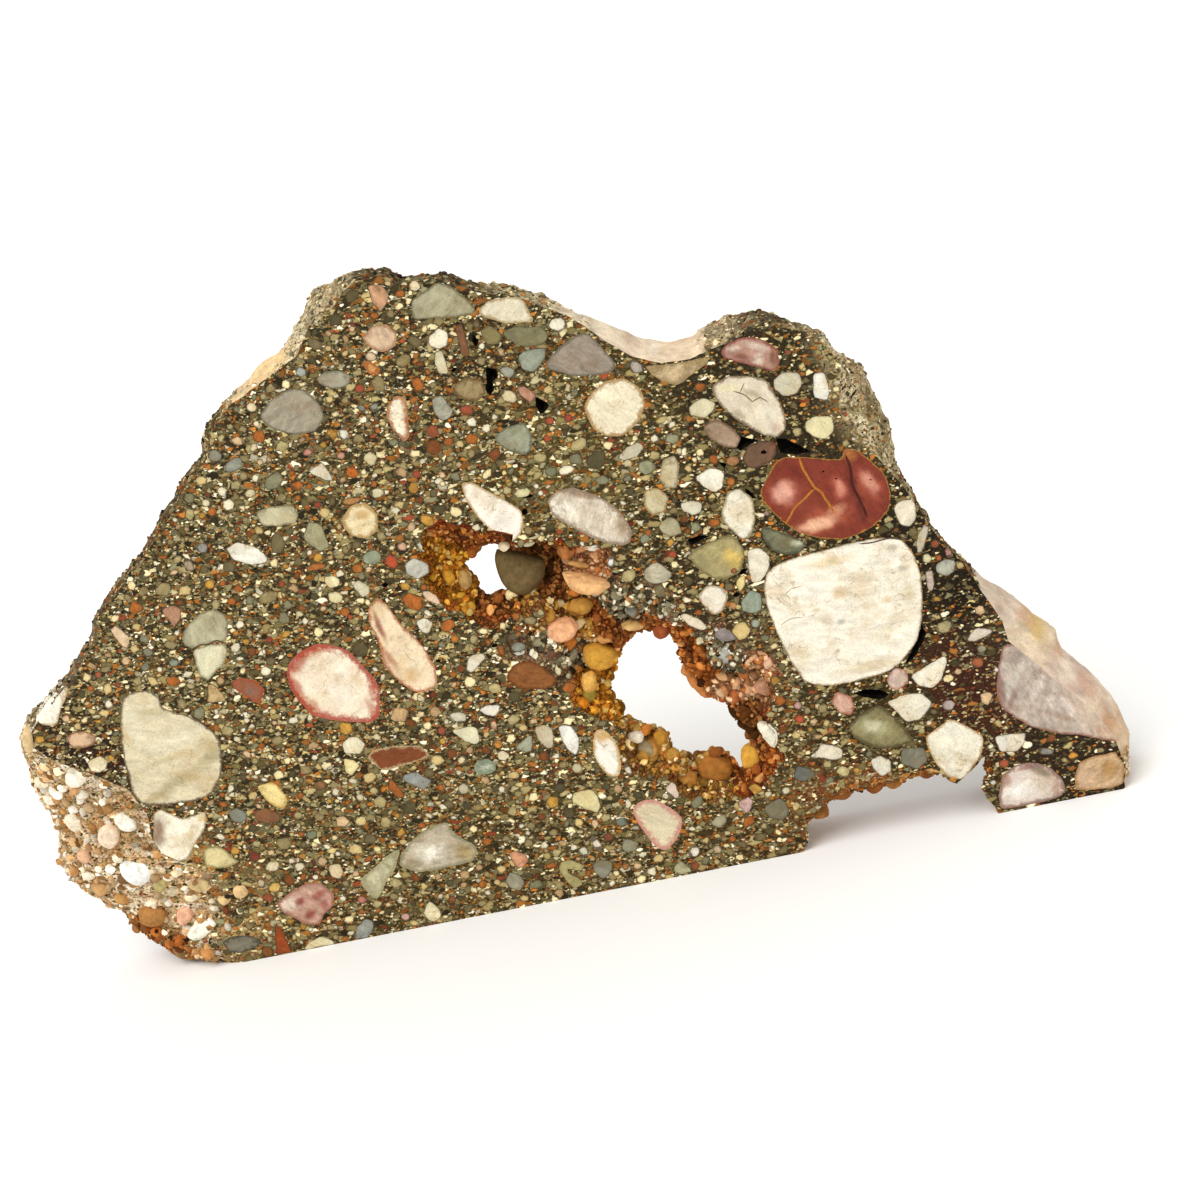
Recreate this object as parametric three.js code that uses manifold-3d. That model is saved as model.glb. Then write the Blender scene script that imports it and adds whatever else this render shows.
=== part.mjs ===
// Puddingstone: a sawn slab of pebbly conglomerate that stands on a flat cut along its lower edge.
// Millimetres. x runs along the slab, z is up, and y runs back from the sawn front face. While the
// slab is being shaped, x = 0 is the left end of the cut base and y = 0 is the front face.

import * as THREE from "three";
import { mergeVertices } from "three/addons/utils/BufferGeometryUtils.js";
import Module from "manifold-3d";

const wasm = await Module();
wasm.setup();

// ---------------------------------------------------------------- driving dimensions
const THICKNESS = 10; // between the two sawn faces
const CREST_DEPTH = 7; // how far back the broken edge is at its widest
const BACK_INSET = 0.8; // the back face's outline stands in from that widest line
const EDGE_STEP = 2.7; // spacing of points round the outline
const EDGE_WANDER = 0.32; // roughness of the broken edge
const FLOOR_CLEARANCE = 0.2; // lowest that a point beside the cut base may come
const BREAK_CURVE = 1.25; // 1 is an even slope from the front face to the crest, more is rounder
const FRONT_RINGS = [0, 0.22, 0.48, 0.75, 1]; // share of the way from front face to crest
const BACK_RINGS = [0.6, 1]; // share of the way from crest to back face

// Both through holes lean: they move by this much for each millimetre of depth.
const HOLE_LEAN = [-0.14, -0.4];
const HOLE_STEP = 2; // spacing of points round a hole
const HOLE_FLARE = 1.3; // wider by this at both faces than at mid depth
const HOLE_OVERRUN = 1; // the cutter runs past both faces by this

// The broken edge, clockwise from the left end of the base as seen from the front. Each row is
// one place on the edge: x and z where it leaves the front face, x and z where it is widest.
const EDGE = [
  // lower left, where the slab breaks off in a long slope of loose-looking rubble
  [0, 0, -9.4, 0],
  [-2.4, 1.6, -12, 0.8],
  [-2.6, 3.4, -13.1, 3],
  [-0.4, 4.9, -14.5, 5],
  [2.6, 6.6, -15.9, 6.2],
  [4.6, 8.6, -17, 8.6],
  [5, 11.4, -18.9, 10],
  [4.4, 13.8, -21, 12.8],
  [2.4, 17.2, -22.2, 14.8],
  [-0.6, 18, -22.6, 16],
  [-3.8, 16.4, -23.1, 17.2],
  [-6.4, 18.4, -22.4, 19.1],
  [-7.1, 21, -21.6, 21.1],
  [-6.6, 24, -21.8, 22.6],
  [-8, 28.4, -22, 25.2],
  [-12, 31.6, -22.5, 27.9],
  [-17, 35, -22.5, 31.3],
  [-18.6, 37, -22.4, 34.6],
  // left shoulder and the long straight slope up to the peak
  [-18.2, 39.4, -21.8, 37.6],
  [-17.2, 40.7, -20.4, 39],
  [-14.6, 42.4, -18.5, 40.3],
  [-11.9, 44.7, -15.7, 42.5],
  [-9.8, 46, -12.8, 44.4],
  [-7.4, 48.6, -10.3, 46.8],
  [-5.4, 50.6, -8.1, 48.8],
  [-4.3, 53, -7, 51],
  [0.5, 57.4, -2.2, 55.7],
  [5.2, 61.2, 2.6, 59.5],
  [9.4, 65.4, 7, 64],
  [13.6, 69.4, 11.1, 68],
  [16, 71.2, 13.7, 70],
  [17.2, 74.4, 14.7, 73],
  [21, 77.2, 18.9, 76.3],
  [24.4, 78.8, 21.8, 78],
  [30.6, 81.6, 28.3, 81.3],
  [33.2, 84.4, 31.8, 85.1],
  [36.4, 86.2, 33.8, 88],
  // peak
  [39, 88.6, 37.2, 88.3],
  [41, 89.4, 39.2, 88.8],
  [44.4, 89.2, 43.5, 88.5],
  [46, 87.6, 45, 86.8],
  [50.2, 87.7, 50.1, 86.2],
  [52, 86.8, 51.9, 85.3],
  [55, 84.4, 54.5, 83.8],
  [58.6, 83.6, 58.3, 82.4],
  [61.2, 82, 61.9, 80.6],
  [65.7, 78.7, 66, 77.1],
  // saddle and the right shoulder
  [69.2, 74.8, 69.5, 74.9],
  [72.1, 72.2, 73.2, 72.2],
  [75.4, 70.4, 76.3, 70.9],
  [79.4, 70.1, 79.4, 70.9],
  [82.6, 70.9, 81.7, 72],
  [88.2, 72, 87.6, 72.6],
  [90.2, 71.6, 89.5, 72],
  [93, 70, 92.3, 70],
  [94.8, 67.8, 95.9, 67.6],
  [95, 65.2, 97.3, 64.5],
  [96.2, 62, 99.4, 62.7],
  [97.4, 59, 100.4, 58.5],
  [98.6, 55.4, 101.3, 53.9],
  [100.3, 51.6, 101.2, 48.8],
  [101.6, 48, 102.1, 45.3],
  [102.8, 44.6, 103.2, 42.4],
  [103.6, 42, 104.1, 39.2],
  [106.3, 37.2, 107, 33.9],
  [107.8, 33.4, 109, 30.2],
  // the broken side of the big quartzite cobble
  [109.2, 30, 112, 27.6],
  [110.4, 26.8, 115.1, 23.6],
  [110.6, 24, 117.1, 21.5],
  [112.6, 21.4, 117.4, 18.6],
  [115, 18, 119.4, 15.8],
  [117.6, 14.4, 121.2, 12.9],
  [120, 11, 122.9, 8.8],
  [121.6, 8, 123.8, 5],
  [121.8, 5.6, 122.8, 2.8],
  [122.2, 3, 122.6, 1.2],
  // foot and arch
  [121.6, 0, 121.8, 0],
  [104.7, 0, 105.2, 0],
  [103.7, 2.4, 104.4, 2.4],
  [103.1, 4.3, 104.2, 4.4],
  [105.3, 6.5, 105.2, 6.4],
  [104.8, 8.6, 104.4, 8.2],
  [102.2, 6.7, 102.4, 7.6],
  [100.2, 5.5, 100, 6.6],
  [98, 7.6, 97.6, 6.4],
  [96.4, 8.3, 95.7, 5.8],
  [93.6, 8.4, 93, 5.2],
  [91.2, 8.2, 91, 4.8],
  [88.4, 8, 88.5, 4.8],
  [86.6, 8, 86.1, 5],
  [83.6, 7.2, 83.2, 4.8],
  [81.4, 5.6, 81, 3],
  [79.6, 3.6, 79.2, 1.8],
  [79.3, 1.2, 78.8, 0.9],
  [78.2, 0, 77.6, 0],
];

// Outlines of the two through holes at mid depth, x and z.
const BIG_HOLE = [
  [60.9, 32.3], [61.9, 33.9], [65, 34.3], [68, 32.8], [68.3, 30.7], [68.2, 28.4], [68.6, 26.2],
  [69.3, 24.2], [71.3, 22.7], [73.2, 21.6], [73.3, 19.6], [74.6, 17], [75, 14.6], [74.6, 12],
  [72.2, 11.1], [71.2, 12.4], [71.1, 14.2], [69.3, 15], [66.5, 14], [65, 15], [63.6, 16.2],
  [63.6, 18.2], [62.8, 19.4], [60.8, 20.7], [59.6, 22], [58.3, 21.8], [58.5, 24.2], [57.5, 25.2],
  [57.8, 28.2], [59, 29.2], [59.8, 30.7],
];
const SMALL_HOLE = [
  [43.2, 48.3], [44, 45.8], [43.8, 44.3], [44.9, 43.3], [46, 42.9], [48, 43], [50.2, 44.4],
  [50.6, 47], [50, 49.6], [48.6, 50], [46.7, 50.6], [45.4, 49.9],
];

// The weathered hollow round the holes, as overlapping scoops out of the front face, and the
// crevices and lost grains elsewhere on it: x, z, half width, half height, depth, turn in degrees.
const SCOOPS = [
  [45, 50.4, 5, 6.5, 5, 10],
  [47, 43.8, 4.6, 2.8, 3.4, 0],
  [52.5, 47, 6, 4.8, 5.5, 0],
  [59.4, 46.4, 4.4, 4, 4, -20],
  [57, 40.2, 5.8, 5.6, 4.4, 0],
  [63.6, 39, 6, 4.5, 4, -15],
  [57, 31, 5.4, 7, 4.5, 0],
  [71.6, 32, 5.2, 5, 3, 0],
  [76.6, 27.6, 4.8, 4.4, 3.2, 0],
  [73.2, 19, 4.8, 8, 4, 0],
  [68.4, 15, 6.4, 4.2, 4, 0],
  [62, 20, 4.6, 5, 4, 0],
];
const CREVICES = [
  [98.2, 26.4, 3.4, 1.6, 3, 40],
  [92.2, 20.6, 3.8, 0.9, 2.4, 8],
  [88.6, 56, 2.5, 1.1, 3, -32],
  [83.4, 58.6, 2.4, 0.7, 1.8, -30],
  [73.8, 45.9, 1.7, 0.6, 1.6, 8],
  [59, 68.8, 0.9, 1.4, 1.6, 0],
  [53.8, 73.5, 1, 0.9, 1.6, 0],
];

// Pebbles that stand out of the rubble: x, y, z, half sizes along x, y, z, turn in degrees.
const PEBBLES = [
  // in the hollow and on the lips of the holes
  [50.7, 4.2, 45.8, 3.5, 3, 3.2, 10],
  [58.9, 2.2, 43.4, 3, 1.7, 1.6, -22],
  [54.2, 1.9, 37.8, 2.3, 1.8, 1.8, 0],
  [57.5, 2.8, 32.8, 2.3, 2.2, 2.4, 0],
  [63.4, 3.4, 36, 2.2, 1.8, 1.3, 12],
  [66.8, 2.4, 35, 1.2, 1.3, 1.4, 0],
  [70.3, 3, 26, 1.4, 1.7, 2.5, 8],
  [74.2, 4, 13.7, 1.6, 1.7, 1.8, 0],
  [69.3, 3.4, 13.2, 2.4, 2, 2.4, 0],
  [62.5, 6, 17.4, 1.8, 1.8, 2.1, 0],
  [60.6, 3, 20.2, 1.2, 1.3, 1.2, 0],
  [55.6, 3.4, 25.4, 1.7, 1.7, 2.2, 0],
  [53.2, 1.5, 26.5, 1.4, 1.3, 1.3, 0],
  [60.4, 3.6, 39.6, 2.2, 1.8, 1.5, 20],
  // lower left rubble
  [0.2, 1.6, 2.7, 3.3, 1.6, 1.9, 0],
  [-4.8, 2.4, 5, 2.7, 1.7, 1.4, 20],
  [-6.5, 3.3, 7.4, 1.8, 1.5, 1.3, 30],
  [-11.4, 4.9, 7.9, 2.4, 2, 2.1, 0],
  [-2.8, 2.4, 11.7, 1.6, 1.4, 1.2, 0],
  [-8.8, 3.4, 12.6, 2, 1.6, 1.3, 30],
  [-11, 3.5, 15.2, 2.7, 2, 2.2, -15],
  [1.2, 1.4, 15.6, 2.6, 1.4, 1.7, -15],
  [-17.6, 5.2, 15.2, 1.5, 1.4, 1.4, 0],
  [-10.5, 2.9, 22.4, 1.8, 1.5, 1.8, -35],
  [-13.7, 3.8, 21.4, 1.8, 1.6, 2.1, 0],
  [-17.5, 4.6, 24.4, 1.6, 1.6, 2.6, 12],
  [-15.4, 2.8, 30.8, 1.6, 1.3, 1.2, 0],
  // edge of the left shoulder, the ledge below the peak, and the roof of the arch
  [-14.9, 2.6, 41.4, 3.4, 2.4, 1.5, 36],
  [27, 3.8, 79.9, 3.9, 2.8, 1.4, 24],
  [84.6, 2.6, 6.5, 2.2, 2, 1.6, 10],
  [89.5, 2.4, 6.5, 1.9, 2, 2, 0],
  [92, 2.6, 6.8, 1.4, 1.8, 1.7, 0],
];
const PEBBLE_DETAIL = 1; // subdivisions of the icosahedron behind a pebble
const SCOOP_DETAIL = 2; // and behind a scoop
const ANGULARITY = 0.09; // how far a pebble's or scoop's surface is knocked in and out

// ---------------------------------------------------------------- small helpers

// A smooth, repeatable wander between -1 and 1 that differs from place to place.
function wander(x, y, z) {
  const slow = Math.sin(0.83 * x + 1.31 * z + 0.6 * y);
  const middle = Math.sin(1.97 * x - 1.43 * z + 1.7 * y + 2);
  const fast = Math.sin(2.9 * z + 3.3 * x - 2.1 * y + 4);
  return (slow + middle + fast) / 3;
}

function lerp(a, b, t) {
  return a + (b - a) * t;
}

// Outward unit normals of a closed clockwise outline of [x, z] points.
function outwardNormals(outline) {
  const count = outline.length;
  return outline.map((_, i) => {
    const before = outline[(i + count - 1) % count];
    const after = outline[(i + 1) % count];
    const along = [after[0] - before[0], after[1] - before[1]];
    const length = Math.hypot(along[0], along[1]) || 1;
    return [-along[1] / length, along[0] / length];
  });
}

// Rows of numbers round a closed figure, with straight runs cut into pieces of about one step.
function resample(rows, step) {
  const points = [];
  rows.forEach((row, i) => {
    const next = rows[(i + 1) % rows.length];
    let run = 0;
    for (let k = 0; k < row.length; k += 2) {
      run = Math.max(run, Math.hypot(next[k] - row[k], next[k + 1] - row[k + 1]));
    }
    const pieces = Math.max(1, Math.round(run / step));
    for (let j = 0; j < pieces; j++) {
      points.push(row.map((value, k) => lerp(value, next[k], j / pieces)));
    }
  });
  return points;
}

// Two-dimensional triangles of an outline of [x, z] points, each turned counter-clockwise.
function triangulate(outline) {
  const contour = outline.map(([x, z]) => new THREE.Vector2(x, z));
  return THREE.ShapeUtils.triangulateShape(contour, []).map(([a, b, c]) => {
    const [p, q, r] = [contour[a], contour[b], contour[c]];
    const area = (q.x - p.x) * (r.y - p.y) - (r.x - p.x) * (q.y - p.y);
    return area > 0 ? [a, b, c] : [a, c, b];
  });
}

// The closed solid through a stack of clockwise loops of [x, y, z] points, front loop first.
function loft(loops) {
  const count = loops[0].length;
  const triangles = [];
  for (let ring = 0; ring + 1 < loops.length; ring++) {
    for (let i = 0; i < count; i++) {
      const here = ring * count + i;
      const beside = ring * count + ((i + 1) % count);
      triangles.push(here, beside, beside + count);
      triangles.push(here, beside + count, here + count);
    }
  }
  const flat = (loop) => loop.map(([x, , z]) => [x, z]);
  const last = (loops.length - 1) * count;
  triangulate(flat(loops[0])).forEach(([a, b, c]) => triangles.push(a, b, c));
  triangulate(flat(loops.at(-1))).forEach(([a, b, c]) => triangles.push(last + a, last + c, last + b));
  return solidFrom(new Float32Array(loops.flat(2)), new Uint32Array(triangles));
}

function solidFrom(vertProperties, triVerts) {
  return new wasm.Manifold(new wasm.Mesh({ numProp: 3, vertProperties, triVerts }));
}

// An ellipsoid with slightly knocked faces.
function pebble([x, y, z, halfX, halfY, halfZ, turn], detail = PEBBLE_DETAIL) {
  let geometry = new THREE.IcosahedronGeometry(1, detail);
  geometry.deleteAttribute("normal");
  geometry.deleteAttribute("uv");
  geometry = mergeVertices(geometry, 1e-4);
  const points = geometry.getAttribute("position");
  for (let i = 0; i < points.count; i++) {
    const knock = wander(9 * points.getX(i) + x, 9 * points.getY(i) + y, 9 * points.getZ(i) + z);
    const reach = 1 + ANGULARITY * knock;
    points.setXYZ(i, points.getX(i) * reach, points.getY(i) * reach, points.getZ(i) * reach);
  }
  geometry.scale(halfX, halfY, halfZ);
  geometry.rotateY(-THREE.MathUtils.degToRad(turn));
  geometry.translate(x, y, z);
  return solidFrom(points.array, new Uint32Array(geometry.getIndex().array));
}

// A hollow cut into the front face: an ellipsoid centred on the face, so its depth is its half size.
function scoop([x, z, halfX, halfZ, depth, turn]) {
  return pebble([x, 0, z, halfX, depth, halfZ, turn], SCOOP_DETAIL);
}

// ---------------------------------------------------------------- slab

// One loop of the broken edge. A point that stands on the cut base stays on it.
function edgeLoop(points, depth) {
  const normals = outwardNormals(points);
  return points.map(([x, z], i) => {
    if (z === 0) {
      return [x, depth, 0];
    }
    const out = EDGE_WANDER * wander(x, depth, z);
    return [x + out * normals[i][0], depth, Math.max(FLOOR_CLEARANCE, z + out * normals[i][1])];
  });
}

function slabBlank() {
  const rows = resample(EDGE, EDGE_STEP);
  const crest = rows.map(([, , x, z]) => [x, z]);
  const normals = outwardNormals(crest);
  const back = crest.map(([x, z], i) => {
    if (z === 0) {
      return [x, z];
    }
    const inset = [x - BACK_INSET * normals[i][0], z - BACK_INSET * normals[i][1]];
    return [inset[0], Math.max(FLOOR_CLEARANCE, inset[1])];
  });
  const loops = FRONT_RINGS.map((share) => {
    const out = Math.sin((share * Math.PI) / 2);
    const points = rows.map(([fx, fz, cx, cz]) => [lerp(fx, cx, out), lerp(fz, cz, out)]);
    return edgeLoop(points, CREST_DEPTH * share ** BREAK_CURVE);
  });
  BACK_RINGS.forEach((share) => {
    const points = crest.map(([x, z], i) => [lerp(x, back[i][0], share), lerp(z, back[i][1], share)]);
    loops.push(edgeLoop(points, lerp(CREST_DEPTH, THICKNESS, share)));
  });
  return loft(loops);
}

// A leaning hole, narrowest at mid depth.
function throughHole(outline) {
  let rim = resample(outline, HOLE_STEP);
  if (!THREE.ShapeUtils.isClockWise(rim.map(([x, z]) => new THREE.Vector2(x, z)))) {
    rim = rim.reverse();
  }
  const normals = outwardNormals(rim);
  const middle = THICKNESS / 2;
  const depths = [-HOLE_OVERRUN, THICKNESS / 4, middle, (3 * THICKNESS) / 4, THICKNESS + HOLE_OVERRUN];
  return loft(depths.map((depth) => {
    const flare = HOLE_FLARE * ((depth - middle) / middle) ** 2;
    const lean = depth - middle;
    return rim.map(([x, z], i) => [
      x + flare * normals[i][0] + HOLE_LEAN[0] * lean,
      depth,
      z + flare * normals[i][1] + HOLE_LEAN[1] * lean,
    ]);
  }));
}

function slabSolid() {
  const hollows = [...SCOOPS, ...CREVICES].map(scoop);
  const holes = [throughHole(BIG_HOLE), throughHole(SMALL_HOLE)];
  const cut = hollows.concat(holes).reduce((solid, cutter) => solid.subtract(cutter), slabBlank());
  return PEBBLES.reduce((solid, row) => solid.add(pebble(row)), cut);
}

// ---------------------------------------------------------------- part

function geometryOf(solid) {
  const mesh = solid.getMesh();
  const geometry = new THREE.BufferGeometry();
  geometry.setAttribute("position", new THREE.BufferAttribute(mesh.vertProperties, 3));
  geometry.setIndex(new THREE.BufferAttribute(mesh.triVerts, 1));
  return geometry;
}

// The origin goes under the middle of the slab, on the plane that it stands on.
function centred(geometry) {
  geometry.computeBoundingBox();
  const { min, max } = geometry.boundingBox;
  geometry.translate(-(min.x + max.x) / 2, -(min.y + max.y) / 2, -min.z);
  geometry.computeVertexNormals();
  return geometry;
}

const stone = new THREE.MeshStandardMaterial({ color: "#6d6048", roughness: 0.5, metalness: 0 });
const slab = new THREE.Mesh(centred(geometryOf(slabSolid())), stone);
slab.name = "slab";

const puddingstone = new THREE.Group();
puddingstone.add(slab);

export default puddingstone;
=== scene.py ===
# %% [markdown]
# # A sawn slab of puddingstone
#
# Puddingstone is a natural concrete: river pebbles of quartz, quartzite, jasper and siltstone, packed
# in sand and set hard by iron oxide. This one was sawn into a slab, polished to a satin on the front,
# and left broken round the edge. Water has worn a rusty hollow right through its middle.
#
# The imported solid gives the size, the base and the front plane. Everything below is worked out in
# "slab millimetres": x from the left end of the cut base, y back from the polished face, z up.

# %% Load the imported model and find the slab's own millimetres in it
import math

import bpy
import numpy as np
from mathutils import Matrix, Vector
from mathutils.geometry import delaunay_2d_cdt
from mathutils.kdtree import KDTree


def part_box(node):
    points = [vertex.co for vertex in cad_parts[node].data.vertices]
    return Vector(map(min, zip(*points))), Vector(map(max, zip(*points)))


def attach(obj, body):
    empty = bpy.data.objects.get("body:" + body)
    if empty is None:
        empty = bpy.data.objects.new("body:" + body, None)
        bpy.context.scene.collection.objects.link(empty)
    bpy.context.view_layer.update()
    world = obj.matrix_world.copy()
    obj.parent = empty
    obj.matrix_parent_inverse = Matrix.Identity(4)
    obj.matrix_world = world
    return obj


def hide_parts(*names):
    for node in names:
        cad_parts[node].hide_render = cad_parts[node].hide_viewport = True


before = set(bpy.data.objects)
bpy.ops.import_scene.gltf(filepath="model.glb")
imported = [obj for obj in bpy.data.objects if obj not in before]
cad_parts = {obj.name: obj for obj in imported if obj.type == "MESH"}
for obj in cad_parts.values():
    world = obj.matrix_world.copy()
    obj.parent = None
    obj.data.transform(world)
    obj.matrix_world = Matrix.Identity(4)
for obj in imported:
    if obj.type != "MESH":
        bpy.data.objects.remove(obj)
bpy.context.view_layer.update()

slab_low, slab_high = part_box("slab")

corners = np.zeros(len(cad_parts["slab"].data.vertices) * 3)
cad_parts["slab"].data.vertices.foreach_get("co", corners)
corners = corners.reshape(-1, 3)
TOUCH = 2e-5  # metres: two places closer than this are the same
on_front_base = (corners[:, 2] < slab_low.z + TOUCH) & (corners[:, 1] < slab_low.y + TOUCH)
ORIGIN_MM = np.array([corners[on_front_base, 0].min(), slab_low.y, slab_low.z]) * 1000
THICKNESS = (slab_high.y - slab_low.y) * 1000
print("slab origin in the frame, mm:", ORIGIN_MM.round(3), "thickness:", round(THICKNESS, 3))


def metres(points):
    """Slab millimetres to frame metres: add the slab's origin and divide by a thousand."""
    return (np.asarray(points, float) + ORIGIN_MM) / 1000


# %% [markdown]
# ## The camera
#
# A long lens, held a little above the slab, a little to its right and tilted sideways, so that the
# cut base runs uphill. The lens is 85 mm: long enough to keep the slab's sides nearly parallel.

# %% Camera
YAW, ELEVATION, ROLL = 8.0, 20.0, 14.664  # degrees
CAMERA_MM = (108.405, -341.818, 166.757)
yaw, elevation, roll = (math.radians(angle) for angle in (YAW, ELEVATION, ROLL))
back_axis = Vector((
    math.sin(yaw) * math.cos(elevation),
    -math.cos(yaw) * math.cos(elevation),
    math.sin(elevation),
))
level_right = (-back_axis).cross(Vector((0, 0, 1))).normalized()
level_up = level_right.cross(-back_axis)
right_axis = math.cos(roll) * level_right - math.sin(roll) * level_up
up_axis = math.sin(roll) * level_right + math.cos(roll) * level_up

lens = bpy.data.cameras.new("camera")
lens.lens = 85
lens.sensor_width = 36
camera = bpy.data.objects.new("camera", lens)
bpy.context.scene.collection.objects.link(camera)
camera.matrix_world = Matrix.Translation(metres(CAMERA_MM)) @ Matrix(
    (right_axis, up_axis, back_axis)
).transposed().to_4x4()
bpy.context.scene.camera = camera
print("camera at", [round(value, 4) for value in camera.location])

# %% [markdown]
# ## Repeatable roughness
#
# Stone is rough at every scale. Three helpers give that roughness as whole arrays: a hash that turns
# lattice cells into repeatable chance, smooth noise built on it, and a cell pattern that acts like
# packed grains. Nothing here depends on a run's luck, so every render gives the same stone.

# %% Hash, noise and packed cells
def chance(cells, channel):
    """Lattice hash: mixes the whole-number cell (…, 3) and a channel into a number from 0 to 1."""
    n = cells.astype(np.int64)
    mixed = n[..., 0] * 374761393 + n[..., 1] * 668265263 + n[..., 2] * 2147483647
    mixed = mixed + channel * 1274126177
    mixed = ((mixed ^ (mixed >> 13)) * 1274126177) & 0x7FFFFFFFFFFF
    mixed = mixed ^ (mixed >> 16)
    return (mixed & 0xFFFFFF) / 0xFFFFFF


def noise(points, size, channel=0, octaves=3):
    """Value noise from -1 to 1: chance at lattice corners, blended smoothly inside each cell, then
    summed over octaves that halve in size and in strength."""
    total, strength = np.zeros(points.shape[:-1]), 0.0
    for octave in range(octaves):
        q = points / (size / 2**octave)
        cell = np.floor(q).astype(np.int64)
        t = q - cell
        t = t * t * (3 - 2 * t)
        value = 0
        for corner in np.ndindex(2, 2, 2):
            share = np.prod(np.where(np.array(corner) == 1, t, 1 - t), axis=-1)
            value = value + share * chance(cell + np.array(corner), channel + 31 * octave)
        total = total + (2 * value - 1) / 2**octave
        strength += 1 / 2**octave
    return total / strength


def packed_cells(points, size, channel=0):
    """Distance to the nearest of one jittered seed per lattice cell, in cells, and that seed's own
    chance. A dome over each seed looks like a packed grain."""
    q = points / size
    cell = np.floor(q).astype(np.int64)
    nearest = np.full(q.shape[:-1], 9.0)
    owner = np.zeros(q.shape[:-1])
    for step in np.ndindex(3, 3, 3):
        around = cell + np.array(step) - 1
        seed = around + np.stack([chance(around, channel + k) for k in (1, 2, 3)], -1)
        gap = np.linalg.norm(q - seed, axis=-1)
        closer = gap < nearest
        nearest = np.where(closer, gap, nearest)
        owner = np.where(closer, chance(around, channel + 4), owner)
    return nearest, owner


def on_face(flat, depth=0.0):
    """Points (x, z) on the face as (x, y, z), at a depth."""
    return np.stack([flat[:, 0], np.zeros(len(flat)) + depth, flat[:, 1]], -1)


print("noise at three places:", noise(np.array([[1.0, 2, 3], [4, 5, 6], [7, 8, 9]]), 2.0).round(3))

# %% [markdown]
# ## The pebbles on the polished face
#
# A saw cuts every pebble to a flat outline, so on the face a pebble is a shape, not a lump. Each is
# written as its colour and the corners of its outline, x,z in slab millimetres, grouped by what the
# pebble is made of. A small round one is written as its middle and its width x height, with @ for a
# turn. A second colour is a rind, where iron has stained the pebble's skin, and * gives its width.

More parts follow.
